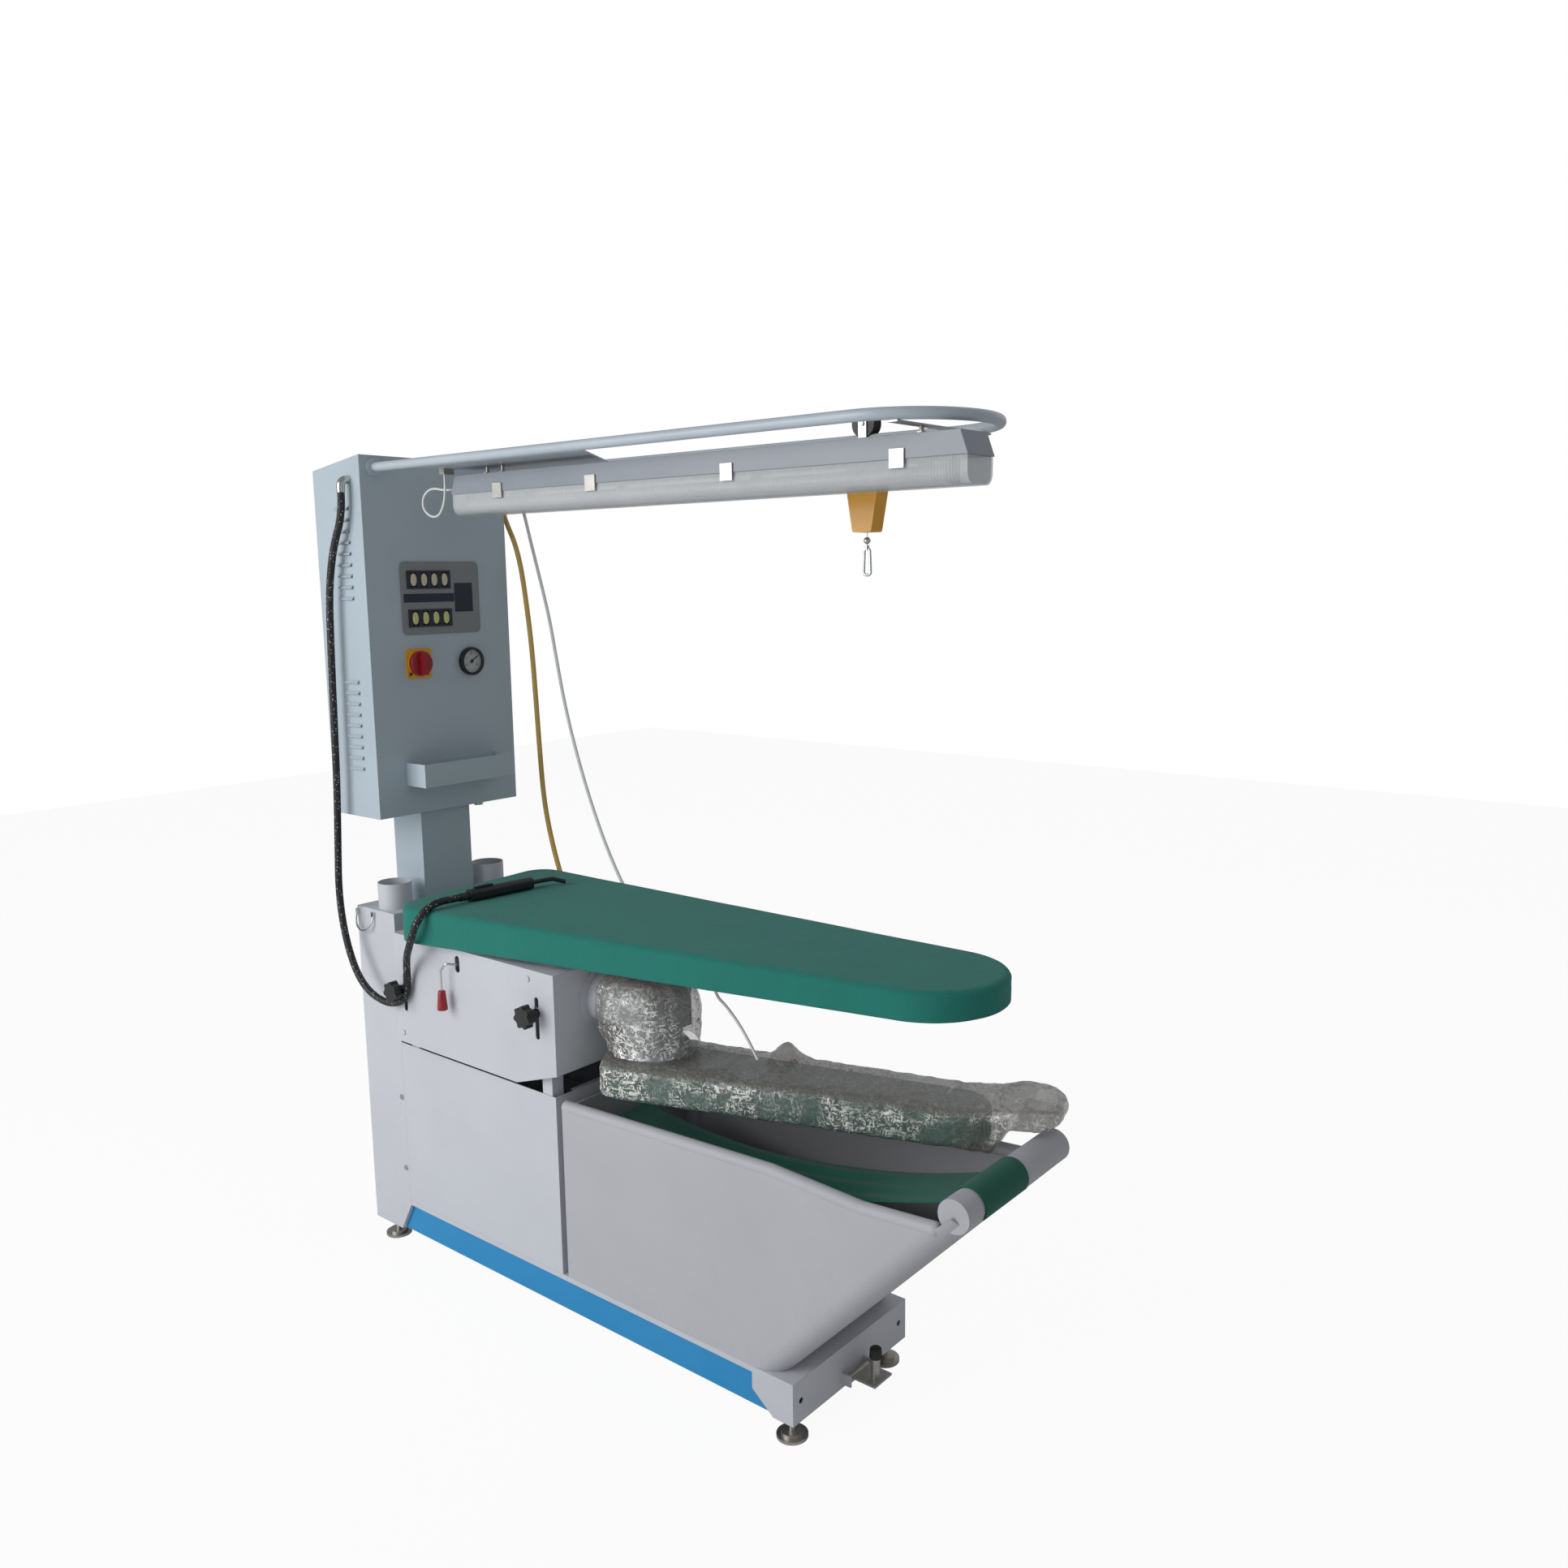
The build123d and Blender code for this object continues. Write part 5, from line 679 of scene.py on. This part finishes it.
def skin(name: str, rings: Sequence[Sequence[Place]], closed: bool = True) -> bpy.types.Object:
    """Return the surface that joins a row of rings with the same number of places.

    Args:
        name: Name of the object.
        rings: Places of each ring.
        closed: Whether each ring closes on itself.

    Returns:
        The new object.
    """
    count = len(rings[0])
    points = [point for ring in rings for point in ring]
    faces = []
    for row in range(len(rings) - 1):
        for step in range(count if closed else count - 1):
            after = (step + 1) % count
            faces.append((
                row * count + step, row * count + after, (row + 1) * count + after, (row + 1) * count + step,
            ))
    return mesh_object(name, points, faces)


def settle(thing: bpy.types.Object, finish: Finish, body: str) -> bpy.types.Object:
    """Give a piece its finish and let it ride with a body.

    Args:
        thing: The piece.
        finish: Its finish.
        body: Body that it moves with.

    Returns:
        The same piece.
    """
    dress(thing, finish)
    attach(thing, body)
    return thing


def dress(thing: bpy.types.Object, finish: Finish) -> bpy.types.Object:
    """Give a piece its finish as its only material."""
    thing.data.materials.clear()
    thing.data.materials.append(finish.material())
    return thing


class Studio:
    """Camera, lights and floor of the photograph."""

    LENS = 29.80
    PLACE = (1.8513, -1.8457, 1.5746)
    FORWARD = (-0.6242, 0.7652, -0.1574)
    ROLL = -0.687

    def build(self) -> None:
        """Set up the view, the light and the floor."""
        self.camera()
        self.world()
        self.lamp("key_light", (-1.6, -3.9, 2.3), 3.2, 134, (0.98, 0.99, 1.0))
        self.lamp("front_light", (3.6, -1.2, 2.4), 2.4, 4, (0.95, 0.98, 1.0))
        self.lamp("far_light", (0.4, 3.0, 3.2), 3.0, 14, (1.0, 1.0, 1.0))
        self.floor()

    def camera(self) -> None:
        """Place the camera as solved from the photograph."""
        data = bpy.data.cameras.new("photo_camera")
        data.lens = self.LENS
        data.sensor_width = 36
        thing = bpy.data.objects.new("photo_camera", data)
        bpy.context.scene.collection.objects.link(thing)
        forward = Vector(self.FORWARD).normalized()
        right = forward.cross(Vector((0, 0, 1))).normalized()
        up = right.cross(forward)
        roll = math.radians(self.ROLL)
        across = right * math.cos(roll) + up * math.sin(roll)
        upright = -right * math.sin(roll) + up * math.cos(roll)
        axes = Matrix((across, upright, -forward)).transposed().to_4x4()
        thing.matrix_world = Matrix.Translation(self.PLACE) @ axes
        scene = bpy.context.scene
        scene.camera = thing
        scene.view_settings.view_transform = "Standard"

    def world(self) -> None:
        """Make a white surround that lights softly."""
        surround = bpy.data.worlds.new("white_surround")
        bpy.context.scene.world = surround
        surround.use_nodes = True
        tree = surround.node_tree
        shown = tree.nodes["Background"]
        shown.inputs["Color"].default_value = (1, 1, 1, 1)
        shown.inputs["Strength"].default_value = 1.0
        soft = tree.nodes.new("ShaderNodeBackground")
        soft.inputs["Color"].default_value = (0.93, 0.96, 1.0, 1)
        soft.inputs["Strength"].default_value = 0.29
        path = tree.nodes.new("ShaderNodeLightPath")
        mix = tree.nodes.new("ShaderNodeMixShader")
        tree.links.new(path.outputs["Is Camera Ray"], mix.inputs["Fac"])
        tree.links.new(soft.outputs[0], mix.inputs[1])
        tree.links.new(shown.outputs[0], mix.inputs[2])
        tree.links.new(mix.outputs[0], tree.nodes["World Output"].inputs["Surface"])

    def lamp(self, name: str, spot: Place, size: float, power: float, colour: Colour) -> None:
        """Hang a soft square lamp that looks at the middle of the machine."""
        data = bpy.data.lights.new(name, "AREA")
        data.shape = "SQUARE"
        data.size = size
        data.energy = power
        data.color = colour
        thing = bpy.data.objects.new(name, data)
        thing.location = spot
        way = Vector((0, 0, 0.9)) - Vector(spot)
        thing.rotation_euler = way.to_track_quat("-Z", "Y").to_euler()
        bpy.context.scene.collection.objects.link(thing)

    def floor(self) -> None:
        """Lay a pale floor that keeps a faint shadow."""
        deselect()
        bpy.ops.mesh.primitive_plane_add(size=16, location=(0, 0, 0))
        ground = bpy.context.object
        ground.name = "pale_floor"
        paint = bpy.data.materials.new("pale_floor")
        paint.use_nodes = True
        tree = paint.node_tree
        tree.nodes.remove(tree.nodes["Principled BSDF"])
        dull = tree.nodes.new("ShaderNodeBsdfDiffuse")
        dull.inputs["Color"].default_value = (0.86, 0.86, 0.86, 1)
        white = tree.nodes.new("ShaderNodeEmission")
        white.inputs["Strength"].default_value = 1.0
        path = tree.nodes.new("ShaderNodeLightPath")
        share = tree.nodes.new("ShaderNodeMath")
        share.operation = "MULTIPLY"
        share.inputs[1].default_value = 0.94
        mix = tree.nodes.new("ShaderNodeMixShader")
        tree.links.new(path.outputs["Is Camera Ray"], share.inputs[0])
        tree.links.new(share.outputs[0], mix.inputs["Fac"])
        tree.links.new(dull.outputs[0], mix.inputs[1])
        tree.links.new(white.outputs[0], mix.inputs[2])
        tree.links.new(mix.outputs[0], tree.nodes["Material Output"].inputs["Surface"])
        ground.data.materials.append(paint)


@dataclass(frozen=True)
class CordRun:
    """A free hose or cable and its route in machine millimetres.

    Attributes:
        node: CAD node that it stands for.
        finish: Its finish.
        diameter: Diameter in metres.
        length: Length in metres; not used.
        far_end: What its far end joins; not used.
        route: Places that steer its middle line.
        bends: Places between which the real cord bends from the frame to the head, or None if it stays on the frame;
            the places are not used, and a cord with bends is left on no body.
        pieces: CAD nodes that hang on it; not used.
    """

    node: str
    finish: Finish
    diameter: float
    length: float
    far_end: str
    route: tuple[Place, ...]
    bends: tuple[Place, Place] | None = None
    pieces: tuple[str, ...] = ()


CORDS = (
    CordRun("gun_hose", HOSE_BRAID, 0.016, 1.666, "tool", (
        (92, -214, 1768), (92, -214, 1722), (53, -217, 1652), (29, -219, 1560), (23, -220, 1440),
        (18, -221, 1290), (14, -222, 1130), (1, -222, 980), (-10, -222, 860), (8, -224, 760),
        (50, -227, 680), (98, -226, 642), (148, -220, 627), (182, -214, 629), (212, -212, 644),
        (228, -212, 669), (233, -215, 703), (248, -225, 737), (272, -239, 765), (300, -251, 791),
        (323, -259, 820), (338, -257, 850), (346, -241, 875), (351, -214, 889), (352.6, -183, 890),
        (352, -151.5, 888.3),
    ), ((182, 0, 0), (318, 0, 0)), ("spray_gun",)),
    CordRun("yellow_hose", YELLOW_HOSE, 0.012, 1.055, "object", (
        (98, 222, 1776), (98, 222, 1738), (113, 222, 1706), (137, 222, 1666), (157, 222, 1606),
        (171, 222, 1520), (183, 223, 1415), (189, 224, 1290), (193, 226, 1160), (198, 228, 1045),
        (214, 230, 955), (240, 231, 870), (275, 228, 802), (275, 228, 748),
    ), ((0, 0, 1700), (0, 0, 840))),
    CordRun("white_cable", WHITE_PLASTIC, 0.008, 1.165, "object", (
        (112, 216, 1788), (112, 238, 1788), (113, 257, 1777), (116, 267, 1755), (128, 266, 1722),
        (160, 254, 1662), (200, 241, 1585), (240, 233, 1485), (267, 228, 1380), (290, 227, 1280),
        (319, 228, 1180), (354, 228, 1085), (391, 228, 1000), (431, 229, 920), (474, 230, 852),
        (520, 228, 800), (520, 228, 748),
    ), ((0, 0, 1700), (0, 0, 840))),
    CordRun("lamp_lead", WHITE_PLASTIC, 0.005, 0.294, "object", (
        (304, -97, 1800), (304, -97, 1769), (296, -96, 1738), (273, -94, 1713), (240, -92, 1713),
        (209, -89, 1733), (211, -87, 1761), (241, -85, 1776), (282, -84, 1768), (315, -84, 1768),
    )),
)


class Cords:
    """The hoses and cables that hang between the box, the rail and the head."""

    def build(self) -> None:
        """Draw each cord as a tube along its route."""
        for run in CORDS:
            self.draw(run)

    def draw(self, run: CordRun) -> None:
        cord, path = tube(run.node + "_line", [place(*spot) for spot in run.route], run.diameter)
        dress(cord, run.finish)
        if run.bends:
            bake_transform(cord)
        else:
            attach(cord, "frame")
        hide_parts(run.node)


@dataclass(frozen=True)
class BoardShape:
    """Half-round nosed board seen from above, in machine millimetres.

    Attributes:
        x: Machine X of the local origin.
        y: Machine Y of the local origin.
        turn: Degrees that local x is turned from machine X.
        tail: Local x of the rear edge.
        half_rear: Half the width at the rear.
        shoulder: Local x where the nose begins.
        half_nose: Half the width where the nose begins.
        tip: Local x of the tip.
        corner: Radius of the rear corners.
    """

    x: float
    y: float
    turn: float
    tail: float
    half_rear: float
    shoulder: float
    half_nose: float
    tip: float
    corner: float

    def world(self, u: float, v: float, z: float) -> Vector:
        """Return the frame place of a local point."""
        turn = math.radians(self.turn)
        return place(
            self.x + u * math.cos(turn) - v * math.sin(turn), self.y + u * math.sin(turn) + v * math.cos(turn), z,
        )

    def corner_arc(self, inset: float, sign: int) -> Outline:
        """Return the places of one rounded rear corner, from the rear edge to the side."""
        radius = max(self.corner - inset, 5)
        lean = math.atan2(self.half_rear - self.half_nose, self.shoulder - self.tail - inset)
        half = (math.pi / 2 - lean) / 2
        u = self.tail + inset + radius
        v = self.half_rear - inset - radius / math.tan(half)
        sweep = math.pi - 2 * half
        arc = [math.pi - sweep * step / 10 for step in range(11)]
        return [(u + radius * math.cos(angle), sign * (v + radius * math.sin(angle))) for angle in arc]

    def loop(self, inset: float) -> Outline:
        """Return the outline moved inwards, anticlockwise from the middle of the rear edge.

        Args:
            inset: Distance inwards in millimetres, negative for outwards.

        Returns:
            Local places, the same number for any inset.
        """
        half = self.half_nose - inset
        sagitta = self.tip - inset - self.shoulder
        radius = (half**2 + sagitta**2) / (2 * sagitta)
        middle = self.tip - inset - radius
        reach = math.atan2(half, self.shoulder - middle)
        nose = [
            (middle + radius * math.cos(angle), radius * math.sin(angle))
            for angle in (reach * (2 * step / 36 - 1) for step in range(37))
        ]
        near, far = self.corner_arc(inset, -1), self.corner_arc(inset, 1)
        sides = 44
        near_side = [
            tuple(start + (end - start) * step / sides for start, end in zip(near[-1], nose[0]))
            for step in range(1, sides)
        ]
        far_side = [(u, -v) for u, v in reversed(near_side)]
        rear = [(far[0][0], far[0][1] + (near[0][1] - far[0][1]) * step / 12) for step in range(1, 12)]
        return [*near, *near_side, *nose, *far_side, *reversed(far), *rear]

    def spine(self, u: float) -> float:
        """Return the nearest local x on the middle line for a local x."""
        return min(max(u, self.tail + self.half_rear * 0.8), self.shoulder)


BOARD = BoardShape(215, -20, 4.25, 0, 232, 1235, 142, 1365, 60)
SLEEVE = BoardShape(860, -60, 16.5, -90, 98, 618, 72, 690, 50)


def underside(x: float) -> float:
    """Return the height of the board's sloping underside in millimetres."""
    return 794 + (x - 190) * 27 / 1410


@dataclass
class PaddedCover:
    """A padded cover drawn over a nosed board, gathered underneath.

    Attributes:
        node: CAD node that it stands for.
        body: Body that it rides on.
        shape: Outline of the board.
        top: Height of the top in millimetres.
        bottom: Height of the hem at a machine X.
        edge: Radius of the top edge.
        hem: How far the cover turns in underneath.
    """

    node: str
    body: str
    shape: BoardShape
    top: float
    bottom: Callable[[float], float]
    edge: float
    hem: float

    def build(self) -> bpy.types.Object:
        rings: list[list[Vector]] = []
        for inset, rise in ((self.hem, 2.5), (self.hem * 0.6, 0.6), (2.0, 0.2), (0.6, 2.0)):
            rings.append(self.low_ring(inset, rise, 0.0))
        for share in (0.12, 0.3, 0.5, 0.7, 0.9):
            rings.append(self.low_ring(0.4 + 0.8 * abs(share - 0.5), None, share))
        for step in range(1, 6):
            angle = math.radians(90 * step / 5)
            rings.append(self.level_ring(
                self.edge * (1 - math.cos(angle)) + 0.3, self.top - self.edge * (1 - math.sin(angle)), 0.0,
            ))
        for share in (0.06, 0.14, 0.26, 0.42, 0.62, 0.82, 1.0):
            rings.append(self.level_ring(self.edge + 0.3, self.top, share))
        cover = skin(self.node + "_soft", rings)
        settle(cover, GREEN_COVER, self.body)
        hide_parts(self.node)
        return cover

    def low_ring(self, inset: float, rise: float | None, share: float) -> list[Vector]:
        """Return a ring of the hem or of the side.

        Args:
            inset: Distance inwards in millimetres.
            rise: Height above the hem, or None for a share of the side.
            share: Share of the side's height.

        Returns:
            The places of the ring.
        """
        ring = []
        for u, v in self.shape.loop(inset):
            x = self.shape.x + u * math.cos(math.radians(self.shape.turn))
            low = self.bottom(x)
            z = low + rise if rise is not None else low + 2 + (self.top - self.edge - low - 2) * share
            pull = 0.8 * noise.noise(Vector((u / 26, v / 26, z / 60))) - 0.6
            out = Vector((u - self.shape.spine(u), v))
            out.normalize()
            ring.append(self.shape.world(u + out.x * pull, v + out.y * pull, z))
        return ring

    def level_ring(self, inset: float, z: float, share: float) -> list[Vector]:
        """Return a ring at one height, a share of the way to the middle line."""
        ring = []
        for u, v in self.shape.loop(inset):
            middle = self.shape.spine(u)
            across, along = v * (1 - share), u + (middle - u) * share
            wave = 0.7 * noise.noise(Vector((along / 130, across / 90, 3.0))) - 0.7
            ring.append(self.shape.world(along, across, z + wave))
        return ring


def crease(spot: Vector, size: float, seed: float) -> float:
    """Return a sharp-ridged wander from -1 to 1 for crumpled film.

    Args:
        spot: Place in millimetres.
        size: Size of the folds in millimetres.
        seed: Shift between layers.

    Returns:
        How far the film stands out there.
    """
    value = 0.0
    weight = 1.0
    for octave in range(4):
        sample = spot / size * 2**octave + Vector((seed, seed * 1.7, octave * 3.1))
        value += weight * (1 - 2.6 * abs(noise.noise(sample)))
        weight *= 0.55
    return max(-1.0, min(1.0, value / 1.6 - 0.25))


def eased(value: float, start: float, end: float) -> float:
    """Return a smooth rise from 0 at the start to 1 at the end."""
    share = min(1.0, max(0.0, (value - start) / (end - start)))
    return share * share * (3 - 2 * share)


@dataclass
class SleeveFilm:
    """Loose clear film that wraps the sleeve board and runs on past its nose, in millimetres.

    Attributes:
        tail: Local x of the rear end.
        tip: Local x of the loose end.
        slack: How far the film stands off the cover's sides.
        bottom: Height of its underside.
        top: Height of its upper side.
        lift: How far the underside rises to clear the roll.
        swell: How far the upper side rises at the loose end.
        hump: Local x, local y and height of the bunched fold on its far edge.
        rows: Number of rings along it.
        around: Number of places in each ring.
    """

    tail: float = -100
    tip: float = 826
    slack: float = 9
    bottom: float = 549
    top: float = 625
    lift: float = 51
    swell: float = 20
    hump: Place = (262, 58, 34)
    rows: int = 190
    around: int = 84

    def build(self) -> None:
        """Draw the film from the tail of the arm to its loose end."""
        rings = []
        for row in range(self.rows + 1):
            u = self.tail + (self.tip - self.tail) * row / self.rows
            half, low, high = self.section(u)
            rings.append([self.spot(u, half, low, high, index / self.around) for index in range(self.around)])
        film = skin("sleeve_film_loose", [*self.end(rings[0]), *rings, *reversed(self.end(rings[-1]))])
        settle(film, CLEAR_FILM, "arm")
        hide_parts("sleeve_film")

    def section(self, u: float) -> tuple[float, float, float]:
        """Return the half width, bottom and top of the film at a local x."""
        tail = min(1.0, max(0.0, (u - self.tail + 4) / 60))
        widest = SLEEVE.half_rear + self.slack
        rear = widest * (0.55 * math.sqrt(max(0.0, 1 - (1 - tail) ** 2)) + 0.45 * min(1, tail * 3))
        slope = (u - SLEEVE.tail) / (SLEEVE.shoulder - SLEEVE.tail)
        side = widest + (SLEEVE.half_nose - SLEEVE.half_rear) * min(max(slope, 0), 1)
        half = min(rear, side) if u < self.tail + 56 else side
        half -= 14 * eased(u, SLEEVE.tip, self.tip)
        low = self.bottom + self.lift * eased(u, SLEEVE.tip + 12, SLEEVE.tip + 54)
        high = self.top + self.swell * eased(u, SLEEVE.shoulder + 2, SLEEVE.tip + 80)
        end = math.sqrt(max(0.0, 1 - max(0.0, (u - self.tip + 48) / 49) ** 2))
        middle = (low + high) / 2
        return half * (0.25 + 0.75 * end), middle + (low - middle) * end, middle + (high - middle) * end

    def spot(self, u: float, half: float, low: float, high: float, share: float) -> Vector:
        """Return one place of the film on its rounded-box section."""
        angle = 2 * math.pi * share
        side, rise = math.cos(angle), math.sin(angle)
        v = half * math.copysign(abs(side) ** 0.34, side)
        z = (low + high) / 2 + (high - low) / 2 * math.copysign(abs(rise) ** 0.4, rise)
        out = crease(Vector((u, v, z)), 62, 1.3) * 2.6 + crease(Vector((u, v, z)), 23, 7.7) * 1.3
        along, across, height = self.hump
        fold = height * math.exp(-((u - along) / 27) ** 2 - ((v - across) / 24) ** 2) if rise > 0 else 0.0
        return SLEEVE.world(u, v + out * side, z + out * rise + fold)

    def end(self, ring: list[Vector]) -> list[list[Vector]]:
        """Return rings that close one end of the film."""
        middle = sum(ring, Vector()) / len(ring)
        return [[middle + (point - middle) * share for point in ring] for share in (0.02, 0.5, 0.85)]


class DuctFilm:
    """Clear film bunched round the elbow and its collar."""

    CENTRE = (854, -60)
    AROUND = 150
    LEVELS = (
        (636, 97), (650, 93), (668, 95), (686, 97), (704, 98), (722, 97), (740, 95), (756, 90), (768, 82),
        (777, 72), (782, 58), (784, 40), (785, 20), (785, 1),
    )

    def build(self) -> None:
        """Draw the film from its ragged lower edge to its closed top."""
        rings = []
        for z, radius in self.fine_levels():
            ring = []
            for index in range(self.AROUND):
                angle = 2 * math.pi * index / self.AROUND
                way = Vector((math.cos(angle), math.sin(angle), 0))
                spot = Vector((way.x * radius, way.y * radius, z))
                gather = math.sin(angle * 11 + 2.2 * math.sin(angle * 3)) * 2.0 * min(1.0, radius / 70)
                out = crease(spot, 46, 4.1) * 2.2 + crease(spot, 19, 9.3) * 1.1 + gather - 3.4
                drop = 1.5 * math.sin(angle * 5) if z < 645 else 0.0
                out = out if radius > 30 else 0.0
                back = 1 + 0.58 * max(0.0, -way.x) * eased(z, 630, 665)
                reach = (radius + out) * back
                ring.append(place(
                    self.CENTRE[0] + way.x * reach, self.CENTRE[1] + way.y * (radius + out), z + drop + 1.5,
                ))
            rings.append(ring)
        film = skin("duct_film_bunched", rings)
        settle(film, CLEAR_FILM, "head")
        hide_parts("duct_film")

    def fine_levels(self) -> Iterable[tuple[float, float]]:
        """Yield the heights and radii with steps in between."""
        for (z, radius), (next_z, next_radius) in zip(self.LEVELS, self.LEVELS[1:]):
            for part in range(4):
                yield z + (next_z - z) * part / 4, radius + (next_radius - radius) * part / 4
        yield self.LEVELS[-1]


@dataclass
class CatchCloth:
    """Cloth slung from the roll of the basin back to the rod inside it.

    Attributes:
        roll: Machine X and Z of the roll and the radius of the wrap.
        rod: Machine X and Z of the rod and the radius of the wrap.
        sag: How far the sling hangs below its chord.
        near: Machine Y of the near edge.
        far: Machine Y of the far edge.
    """

    roll: tuple[float, float, float] = (1632, 556, 31.7)
    rod: tuple[float, float, float] = (745, 452, 7.6)
    sag: float = 52
    near: float = -124
    far: float = 18

    def path(self) -> list[tuple[float, float, float]]:
        """Return the side view of the cloth with the share of its free hang."""
        x, z, radius = self.roll
        line = []
        for step in range(45):
            angle = math.radians(-32 + 218 * step / 44)
            line.append((x + radius * math.cos(angle), z + radius * math.sin(angle), 0.0))
        start, end = line[-1], (self.rod[0], self.rod[1] + self.rod[2])
        for step in range(1, 120):
            share = step / 120
            line.append((
                start[0] + (end[0] - start[0]) * share,
                start[1] + (end[1] - start[1]) * share - 4 * self.sag * share * (1 - share),
                math.sin(math.pi * share),
            ))
        x, z, radius = self.rod
        for step in range(25):
            angle = math.radians(90 + 210 * step / 24)
            line.append((x + radius * math.cos(angle), z + radius * math.sin(angle), 0.0))
        return line

    def build(self) -> None:
        line = self.path()
        across = 56
        points, faces = [], []
        for x, z, free in line:
            for step in range(across + 1):
                share = step / across
                y = self.near + (self.far - self.near) * share
                wander = noise.noise(Vector((x / 170, share * 2.1, 0.4)))
                wave = 3.4 * math.sin(share * 17 + 1.4 * wander) + 2.4 * wander
                points.append(place(x, y + 1.2 * free * wander, z + free * wave))
        count = across + 1
        for row in range(len(line) - 1):
            for step in range(across):
                corner = row * count + step
                faces.append((corner, corner + 1, corner + count + 1, corner + count))
        cloth = mesh_object("catch_cloth_slung", points, faces)
        thick = cloth.modifiers.new("thickness", "SOLIDIFY")
        thick.thickness = 0.0018
        thick.offset = 0
        pick(cloth)
        bpy.ops.object.modifier_apply(modifier=thick.name)
        settle(cloth, GREEN_SLING, "frame")
        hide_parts("catch_cloth")


class Gauge:
    """Dial, marks and glass of the round gauge."""

    CENTRE = (75.0, 1387.0)

    def spot(self, x: float, radius: float = 0.0, angle: float = 0.0) -> Vector:
        """Return a place on the dial, with the angle clockwise from the top."""
        turn = math.radians(angle)
        return place(x, self.CENTRE[0] + radius * math.sin(turn), self.CENTRE[1] + radius * math.cos(turn))

    def build(self) -> None:
        """Draw the dial with its ticks and numbers under a glass."""
        settle(rod("gauge_dial", self.spot(139.05), self.spot(139.5), 0.0274), DIAL_WHITE, "frame")
        for mark in range(21):
            angle = -120 + 12 * mark
            half = Vector((0.00015, 0.00045, 0.0028) if mark % 5 == 0 else (0.00015, 0.00022, 0.0016))
            tick = block(f"gauge_tick_{mark}", -half, half, 0)
            tick.location = self.spot(139.6, 22.5, angle)
            tick.rotation_euler = (-math.radians(angle), 0, 0)
            settle(bake(tick), DIAL_INK, "frame")
        for number, angle in ((0, -120), (2, -60), (4, 0), (6, 60), (8, 120)):
            self.digit(str(number), self.spot(139.6, 16.5, angle))
        settle(hoop("gauge_bezel", self.spot(147.0), Vector((1, 0, 0)), 0.0292, 0.0018), BLACK_PLASTIC, "frame")
        settle(rod("gauge_window", self.spot(145.4), self.spot(146.4), 0.0276), GAUGE_GLASS, "frame")

    def digit(self, text: str, spot: Vector) -> None:
        """Write one plain number on the dial."""
        deselect()
        bpy.ops.object.text_add(location=spot, rotation=(math.radians(90), 0, math.radians(90)))
        made = bpy.context.object
        made.name = "gauge_number_" + text
        made.data.body = text
        made.data.size = 0.0085
        made.data.align_x = "CENTER"
        made.data.align_y = "CENTER"
        made.data.extrude = 0.0001
        bpy.ops.object.convert(target="MESH")
        settle(bake(bpy.context.object), DIAL_INK, "frame")


class Fittings:
    """Small pieces that the CAD parts leave to the looks."""

    def build(self) -> None:
        """Draw the grip, the pedal's cap, the padlock hole, the thin tube and the balancer's cable."""
        settle(
            rod("lever_grip", place(368, -222, 655), place(368, -222, 699), 0.0118, 0.0078, 0.0025),
            RED_PLASTIC, "flap",
        )
        settle(
            rod("pedal_cap", place(1357, 2, 112), place(1357, 2, 133), 0.0125, 0.0112, 0.003),
            BLACK_RUBBER, "pedal",
        )
        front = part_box("switch_plate")[1].x * 1000 + MACHINE_X
        hole = rod("padlock_hole", place(front - 0.4, -95, 1367), place(front + 0.15, -95, 1367), 0.0034)
        settle(hole, DIAL_INK, "frame")
        self.thin_tube()
        self.cable()

    def thin_tube(self) -> None:
        """Draw the thin tube that drops from the board to the sleeve."""
        route = ((960, 0, 800), (962, 0, 752), (1000, 2, 728), (1048, 0, 682), (1078, -2, 640))
        line, _ = tube("thin_tube", [place(*spot) for spot in route], 0.006)
        settle(line, WHITE_PLASTIC, "head")

    def cable(self) -> None:
        """Draw the balancer's cable, which pays out with the hook."""
        low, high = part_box("balancer_cable")
        middle, radius = (low + high) / 2, (high.x - low.x) / 2
        rings = []
        for step in range(41):
            z = high.z + (low.z - high.z) * step / 40
            turns = [math.radians(30 * part) for part in range(12)]
            rings.append([
                (middle.x + radius * math.cos(turn), middle.y + radius * math.sin(turn), z) for turn in turns
            ])
        wire = skin("balancer_cable_line", rings)
        dress(wire, BRIGHT_WIRE)
        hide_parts("balancer_cable")
        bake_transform(wire)


class CadFinishes:
    """Puts a procedural finish on every CAD node."""

    def build(self) -> None:
        """Paint the nodes and report any that the table misses."""
        finishes = {node: finish for finish, nodes in CAD_FINISHES.items() for node in nodes}
        for name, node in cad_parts.items():
            finish = finishes.get(name)
            if finish is None:
                LOG.warning("no finish for %s", name)
                finish = GREY_PAINT
            node.data.materials.clear()
            node.data.materials.append(finish.material())


def main() -> None:
    """Build the studio, the cords, the covers, the films and the small pieces."""
    logging.basicConfig(level=logging.INFO, format="%(name)s: %(message)s")
    CadFinishes().build()
    for part in (
        Studio(), Cords(),
        PaddedCover("board_cover", "head", BOARD, 875, underside, 15, 13),
        PaddedCover("sleeve_cover", "arm", SLEEVE, 612, lambda x: 552.0, 12, 8),
        SleeveFilm(), DuctFilm(), CatchCloth(), Gauge(), Fittings(),
    ):
        LOG.info("building %s", type(part).__name__)
        part.build()


if __name__ == "__main__":
    main()
